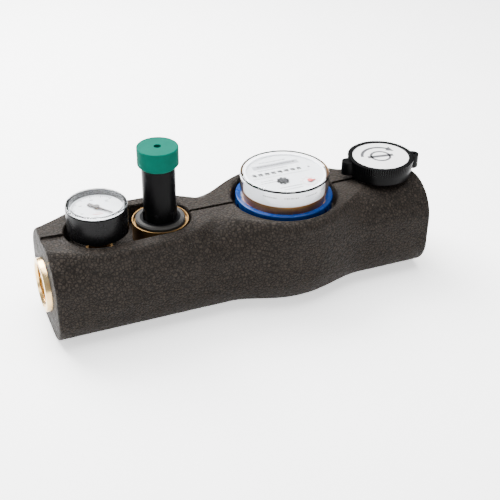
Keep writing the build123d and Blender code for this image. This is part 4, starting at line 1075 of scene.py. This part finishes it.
def threaded_socket(name, node, side):
    """Lathed socket whose outside follows the frame's own socket."""
    low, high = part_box(node)
    length = high.x - low.x
    face = high.x if side > 0 else low.x
    collar_r = (high.y - low.y) / 2
    edge = 0.8 * MM
    outside = [(length, SPIGOT_R), (COLLAR, SPIGOT_R), (COLLAR, collar_r - edge), (COLLAR - edge, collar_r)]
    outside += [(edge, collar_r), (0.2 * edge, collar_r - 0.35 * edge), (0, collar_r - edge)]
    rings = [[(depth, radius)] * SOCKET_STEPS for depth, radius in outside]
    for depth in np.linspace(0, THREAD_DEPTH, 100):
        rings.append([(depth, thread_radius(depth, tau * i / SOCKET_STEPS)) for i in range(SOCKET_STEPS)])
    rings += [[(THREAD_DEPTH, WAY_R)] * SOCKET_STEPS, [(length, WAY_R)] * SOCKET_STEPS]
    points = []
    for ring in rings:
        for i, (depth, radius) in enumerate(ring):
            angle = tau * i / SOCKET_STEPS
            points.append((face - side * depth, radius * cos(angle), AXIS_Z + radius * sin(angle)))
    faces = []
    for row in range(len(rings)):
        start, after = row * SOCKET_STEPS, (row + 1) % len(rings) * SOCKET_STEPS
        for i in range(SOCKET_STEPS):
            j = (i + 1) % SOCKET_STEPS
            faces.append((start + i, start + j, after + j, after + i))
    piece = add_piece(name, points, faces, brass_socket, "brasswork", sharp=32)
    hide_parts(node)
    return piece


threaded_socket("outlet_threads", "outlet_socket", -1)
threaded_socket("inlet_threads", "inlet_socket", 1)
print("thread turns in each socket:", round(THREAD_DEPTH / THREAD_PITCH, 1))

# %% [markdown]
# ## The gauge's dial
# A Bourdon gauge turns its pointer through 270 degrees. At rest the pointer
# lies on zero, so the scale starts at its angle and runs clockwise. One loop
# draws all ticks; each tenth is longer and every second one has a numeral.

# %% Print the gauge scale
GAUGE_DIAL = top_of("gauge_dial")
GAUGE_ZERO = radians(-52)
GAUGE_SWEEP = radians(270)
GAUGE_UP = GAUGE_ZERO - GAUGE_SWEEP / 2 - pi / 2
TICK_RIM = 17.8 * MM
NUMERAL_RING = 12.3 * MM
NUMERAL_SIZE = 3.6 * MM
GAUGE_HUB_R = 2.3 * MM
# radius, width, how far round the coloured arc starts and ends, and its steps
ROSE_ARCS = ((8.6 * MM, 0.9 * MM, 0.35, 1.25, 14), (6.6 * MM, 0.5 * MM, 0.35, 1.0, 12))


def gauge_scale():
    """Ticks, numerals and two coloured arcs on the gauge's dial."""
    ticks = []
    for step in range(51):
        angle = GAUGE_ZERO - GAUGE_SWEEP * step / 50
        long = step % 5 == 0
        length = (2.6 if long else 1.4) * MM
        radius = TICK_RIM - length / 2
        width = (0.55 if long else 0.28) * MM
        ticks.append(bar(GAUGE.x + radius * cos(angle), radius * sin(angle), length, width, angle))
    ring_r = TICK_RIM + 0.1 * MM
    ticks += arc_pieces(GAUGE.x, 0, ring_r, 0.2 * MM, GAUGE_ZERO, GAUGE_ZERO - GAUGE_SWEEP, 60)
    raise_outlines("gauge_ticks", ticks, GAUGE_DIAL, print_grey, "brasswork", "dial_white")
    parts = []
    for value in range(0, 11, 2):
        angle = GAUGE_ZERO - GAUGE_SWEEP * value / 10
        x, y = GAUGE.x + NUMERAL_RING * cos(angle), NUMERAL_RING * sin(angle)
        finish = (f"gauge_numeral_{value}", print_grey, "brasswork", "dial_white")
        parts.append(numeral(str(value), x, y, NUMERAL_SIZE, GAUGE_UP, GAUGE_DIAL, *finish))
    join_pieces("gauge_numerals", parts)
    warm = []
    for radius, width, start, end, steps in ROSE_ARCS:
        warm += arc_pieces(GAUGE.x, 0, radius, width, GAUGE_ZERO - start, GAUGE_ZERO - end, steps)
    raise_outlines("gauge_rose_marks", warm, GAUGE_DIAL, print_rose, "brasswork", "dial_white")


gauge_scale()
HUB_Z = top_of("gauge_pointer")
hub = [disc(GAUGE.x, 0, GAUGE_HUB_R)]
raise_outlines("pointer_hub", hub, HUB_Z, pointer_brown, "gauge_hand", "pointer_paint", 0.6 * MM)
print("gauge scale at z in mm:", round(GAUGE_DIAL / MM, 2))

# %% [markdown]
# ## The meter's dial
# A water meter shows whole units on a row of number wheels behind small
# windows. The wheels turn, so their digits must lie on the drum. We make each
# digit flat, then wrap it: its height on the page becomes an angle on the
# drum. Each wheel carries ten digits, a tenth of a turn apart.


# %% Wrap digits on the number wheels
WHEELS = 8
DIGIT_SIZE = 2.9 * MM
DIGIT_INK = 0.05 * MM


def wheel_digits(index):
    """Ten digits round one number wheel, riding with it."""
    centre = middle(f"number_wheel_{index}")
    low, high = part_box(f"number_wheel_{index}")
    drum_r = (high.z - low.z) / 2
    body = f"counter_{index}"
    parts = []
    for value in range(10):
        name = f"digit_{index}_{value}"
        finish = (name, print_white, body, "wheel_black", DIGIT_INK)
        part = numeral(str(value), 0, 0, DIGIT_SIZE, 0, 0, *finish)
        for vertex in part.data.vertices:
            x, y, z = vertex.co
            angle = y / drum_r + tau * value / 10
            reach = drum_r + z
            vertex.co = (centre.x + x, centre.y + reach * sin(angle), centre.z + reach * cos(angle))
        parts.append(part)
    return join_pieces(f"wheel_digits_{index}", parts)


for wheel in range(1, WHEELS + 1):
    wheel_digits(wheel)
print("digit rings:", WHEELS)

# %% [markdown]
# The dial plate has one long slot over the wheels. A thin printed mask with
# eight windows covers it, so each digit sits in a frame of its own. The small
# rows of dashes stand in for small print, which would be unreadable anyway.

# %% Print the meter's dial
METER_DIAL = top_of("meter_dial")
FIRST_WHEEL, LAST_WHEEL = middle(f"number_wheel_{WHEELS}"), middle("number_wheel_1")
WHEEL_GAP = (LAST_WHEEL.x - FIRST_WHEEL.x) / (WHEELS - 1)
WINDOW_WIDE = 3.5 * MM
WINDOW_HIGH = 4.0 * MM
MASK_HIGH = 7.4 * MM
ROW_X = (FIRST_WHEEL.x + LAST_WHEEL.x) / 2
ROW_Y = FIRST_WHEEL.y
LITRE_TICKS = 5.2 * MM
LITRE_RING = 5.6 * MM
LITRE_NUMERALS = 7.0 * MM
# rows of dashes, in millimetres: middle in X and Y from the dial's axis, length, height
PRINT_ROWS = (
    (-1, 16, 30, 2.2),
    (-2, 21.6, 20, 0.9),
    (-6, 10.2, 24, 0.8),
    (-17, -6, 10, 0.8),
    (-17, -9, 12, 0.8),
    (-4, -19.5, 16, 0.9),
    (-3, -23, 14, 0.8),
)


def window_mask():
    """Strips between and round the eight windows."""
    strips = []
    row_length = WHEELS * WHEEL_GAP + 2 * MM
    band = (MASK_HIGH - WINDOW_HIGH) / 2
    for side in (-1, 1):
        strips.append(bar(ROW_X, ROW_Y + side * (WINDOW_HIGH + band) / 2, row_length, band))
    for gap in range(WHEELS + 1):
        x = FIRST_WHEEL.x + (gap - 0.5) * WHEEL_GAP
        wide = WHEEL_GAP - WINDOW_WIDE + (1 * MM if gap in (0, WHEELS) else 0)
        strips.append(bar(x, ROW_Y, wide, WINDOW_HIGH))
    finish = (dial_white, "brasswork", "dial_white", 0.12 * MM)
    return raise_outlines("window_mask", strips, METER_DIAL, *finish)


def small_print(x, y, length, height, pattern=(3, 1, 4, 2, 5, 3, 2, 4)):
    """A row of short bars of uneven length, like words too small to read."""
    bars, along, index = [], 0.0, 0
    unit = 0.42 * MM
    while along < length:
        word = pattern[index % len(pattern)] * unit
        bars.append(bar(x - length / 2 + along + word / 2, y, word, height))
        along += word + unit
        index += 1
    return bars


def meter_print():
    """Bands, rows of dashes, underline, tick rings."""
    x, low = METER.x, METER_DIAL
    slot = "dial_white"
    band = [bar(x - 1 * MM, 15.5 * MM, 38 * MM, 6 * MM)]
    raise_outlines("dial_band", band, low, print_pale, "brasswork", slot, 0.03 * MM)
    dark = []
    for along, across_y, length, height in PRINT_ROWS:
        dark += small_print(x + along * MM, across_y * MM, length * MM, height * MM)
    dark += [bar(x - 3 * MM, -1.2 * MM, 46 * MM, 0.3 * MM), bar(x + 22 * MM, ROW_Y, 1.6 * MM, 2.4 * MM)]
    raise_outlines("dial_print", dark, low, print_grey, "brasswork", slot)
    ticks = arc_pieces(LITRE_AT.x, LITRE_AT.y, LITRE_RING, 0.2 * MM, 0, tau, 40)
    parts = []
    for step in range(10):
        angle = pi / 2 - tau * step / 10
        at = (LITRE_AT.x + LITRE_TICKS * cos(angle), LITRE_AT.y + LITRE_TICKS * sin(angle))
        ticks.append(bar(*at, 1.0 * MM, 0.25 * MM, angle))
        at = (LITRE_AT.x + LITRE_NUMERALS * cos(angle), LITRE_AT.y + LITRE_NUMERALS * sin(angle))
        name = f"litre_numeral_{step}"
        parts.append(numeral(str(step), *at, 1.9 * MM, 0, low, name, print_rose, "brasswork", slot))
    raise_outlines("litre_ticks", ticks, low, print_rose, "brasswork", slot)
    join_pieces("litre_numerals", parts)


def joint_axis(name):
    """Point on a joint's axis, from the frame's record."""
    for joint in frame["record"]["behaviour"]["joints"]:
        if joint["name"] == name:
            return Vector(joint["pos_m"])


LITRE_AT = joint_axis("litre_hand_spin")
window_mask()
meter_print()
LITRE_TOP = top_of("litre_pointer")
hub = [disc(LITRE_AT.x, LITRE_AT.y, 2.1 * MM)]
raise_outlines("litre_hub", hub, LITRE_TOP, pointer_red, "litre_hand", "pointer_red", 0.25 * MM)
print("rows of dashes on the dial:", len(PRINT_ROWS))

# %% [markdown]
# The white cup round the register carries small marks too. They stand upright
# on a round wall: thin arcs of ink, each given a height.


# %% Mark the register's wall
MARK_HIGH = 1.1 * MM


def register_marks():
    """Groups of small upright marks round the register cup."""
    low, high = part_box("register_cup")
    wall_r = (high.y - low.y) / 2 + 0.02 * MM
    marks = []
    for degrees in range(-150, 0, 3):
        if degrees % 30 in (0, 3, 27):
            continue
        start = radians(degrees)
        end = start + radians(1.1 + degrees % 2 * 0.6)
        marks += arc_pieces(METER.x, 0, wall_r, 0.06 * MM, start, end, 1)
    middle_z = low.z + 0.62 * (high.z - low.z)
    finish = (print_grey, "brasswork", "white_plastic", MARK_HIGH)
    return raise_outlines("register_marks", marks, middle_z, *finish)


print("marks round the register:", len(register_marks().data.polygons) // 6)

# %% [markdown]
# ## The knob's label
# The label shows what the knob does with a plain symbol: a ring for the pipe,
# a bar for the bore of the ball, and a quarter-turn arrow round them.

# %% Draw the quarter-turn symbol
LABEL_TOP = top_of("knob_label")
ARROW_R = 14.5 * MM
ARROW_WIDE = 2.4 * MM
BARB = 3.6 * MM


def knob_symbol():
    """Arrow over a quarter turn, with a ring and a bar in its middle."""
    x = KNOB.x
    turn = radians(-8)
    shapes = arc_pieces(x, 0, ARROW_R, ARROW_WIDE, radians(165), radians(40), 28)
    root, tip = radians(42), radians(15)
    for side in (-1, 1):
        barb_r = ARROW_R + side * BARB
        head = [(x + barb_r * cos(root), barb_r * sin(root))]
        head.append((x + ARROW_R * cos(root), ARROW_R * sin(root)))
        head.append((x + ARROW_R * cos(tip), ARROW_R * sin(tip)))
        shapes.append(head)
    shapes += arc_pieces(x, 0, 7.5 * MM, 2.0 * MM, 0, tau, 48)
    shapes.append(bar(x, 0, 21 * MM, 3.4 * MM, turn))
    return raise_outlines("knob_symbol", shapes, LABEL_TOP, print_grey, "valve_drive", "label_white")


knob_symbol()
print("knob label top in mm:", round(LABEL_TOP / MM, 1))
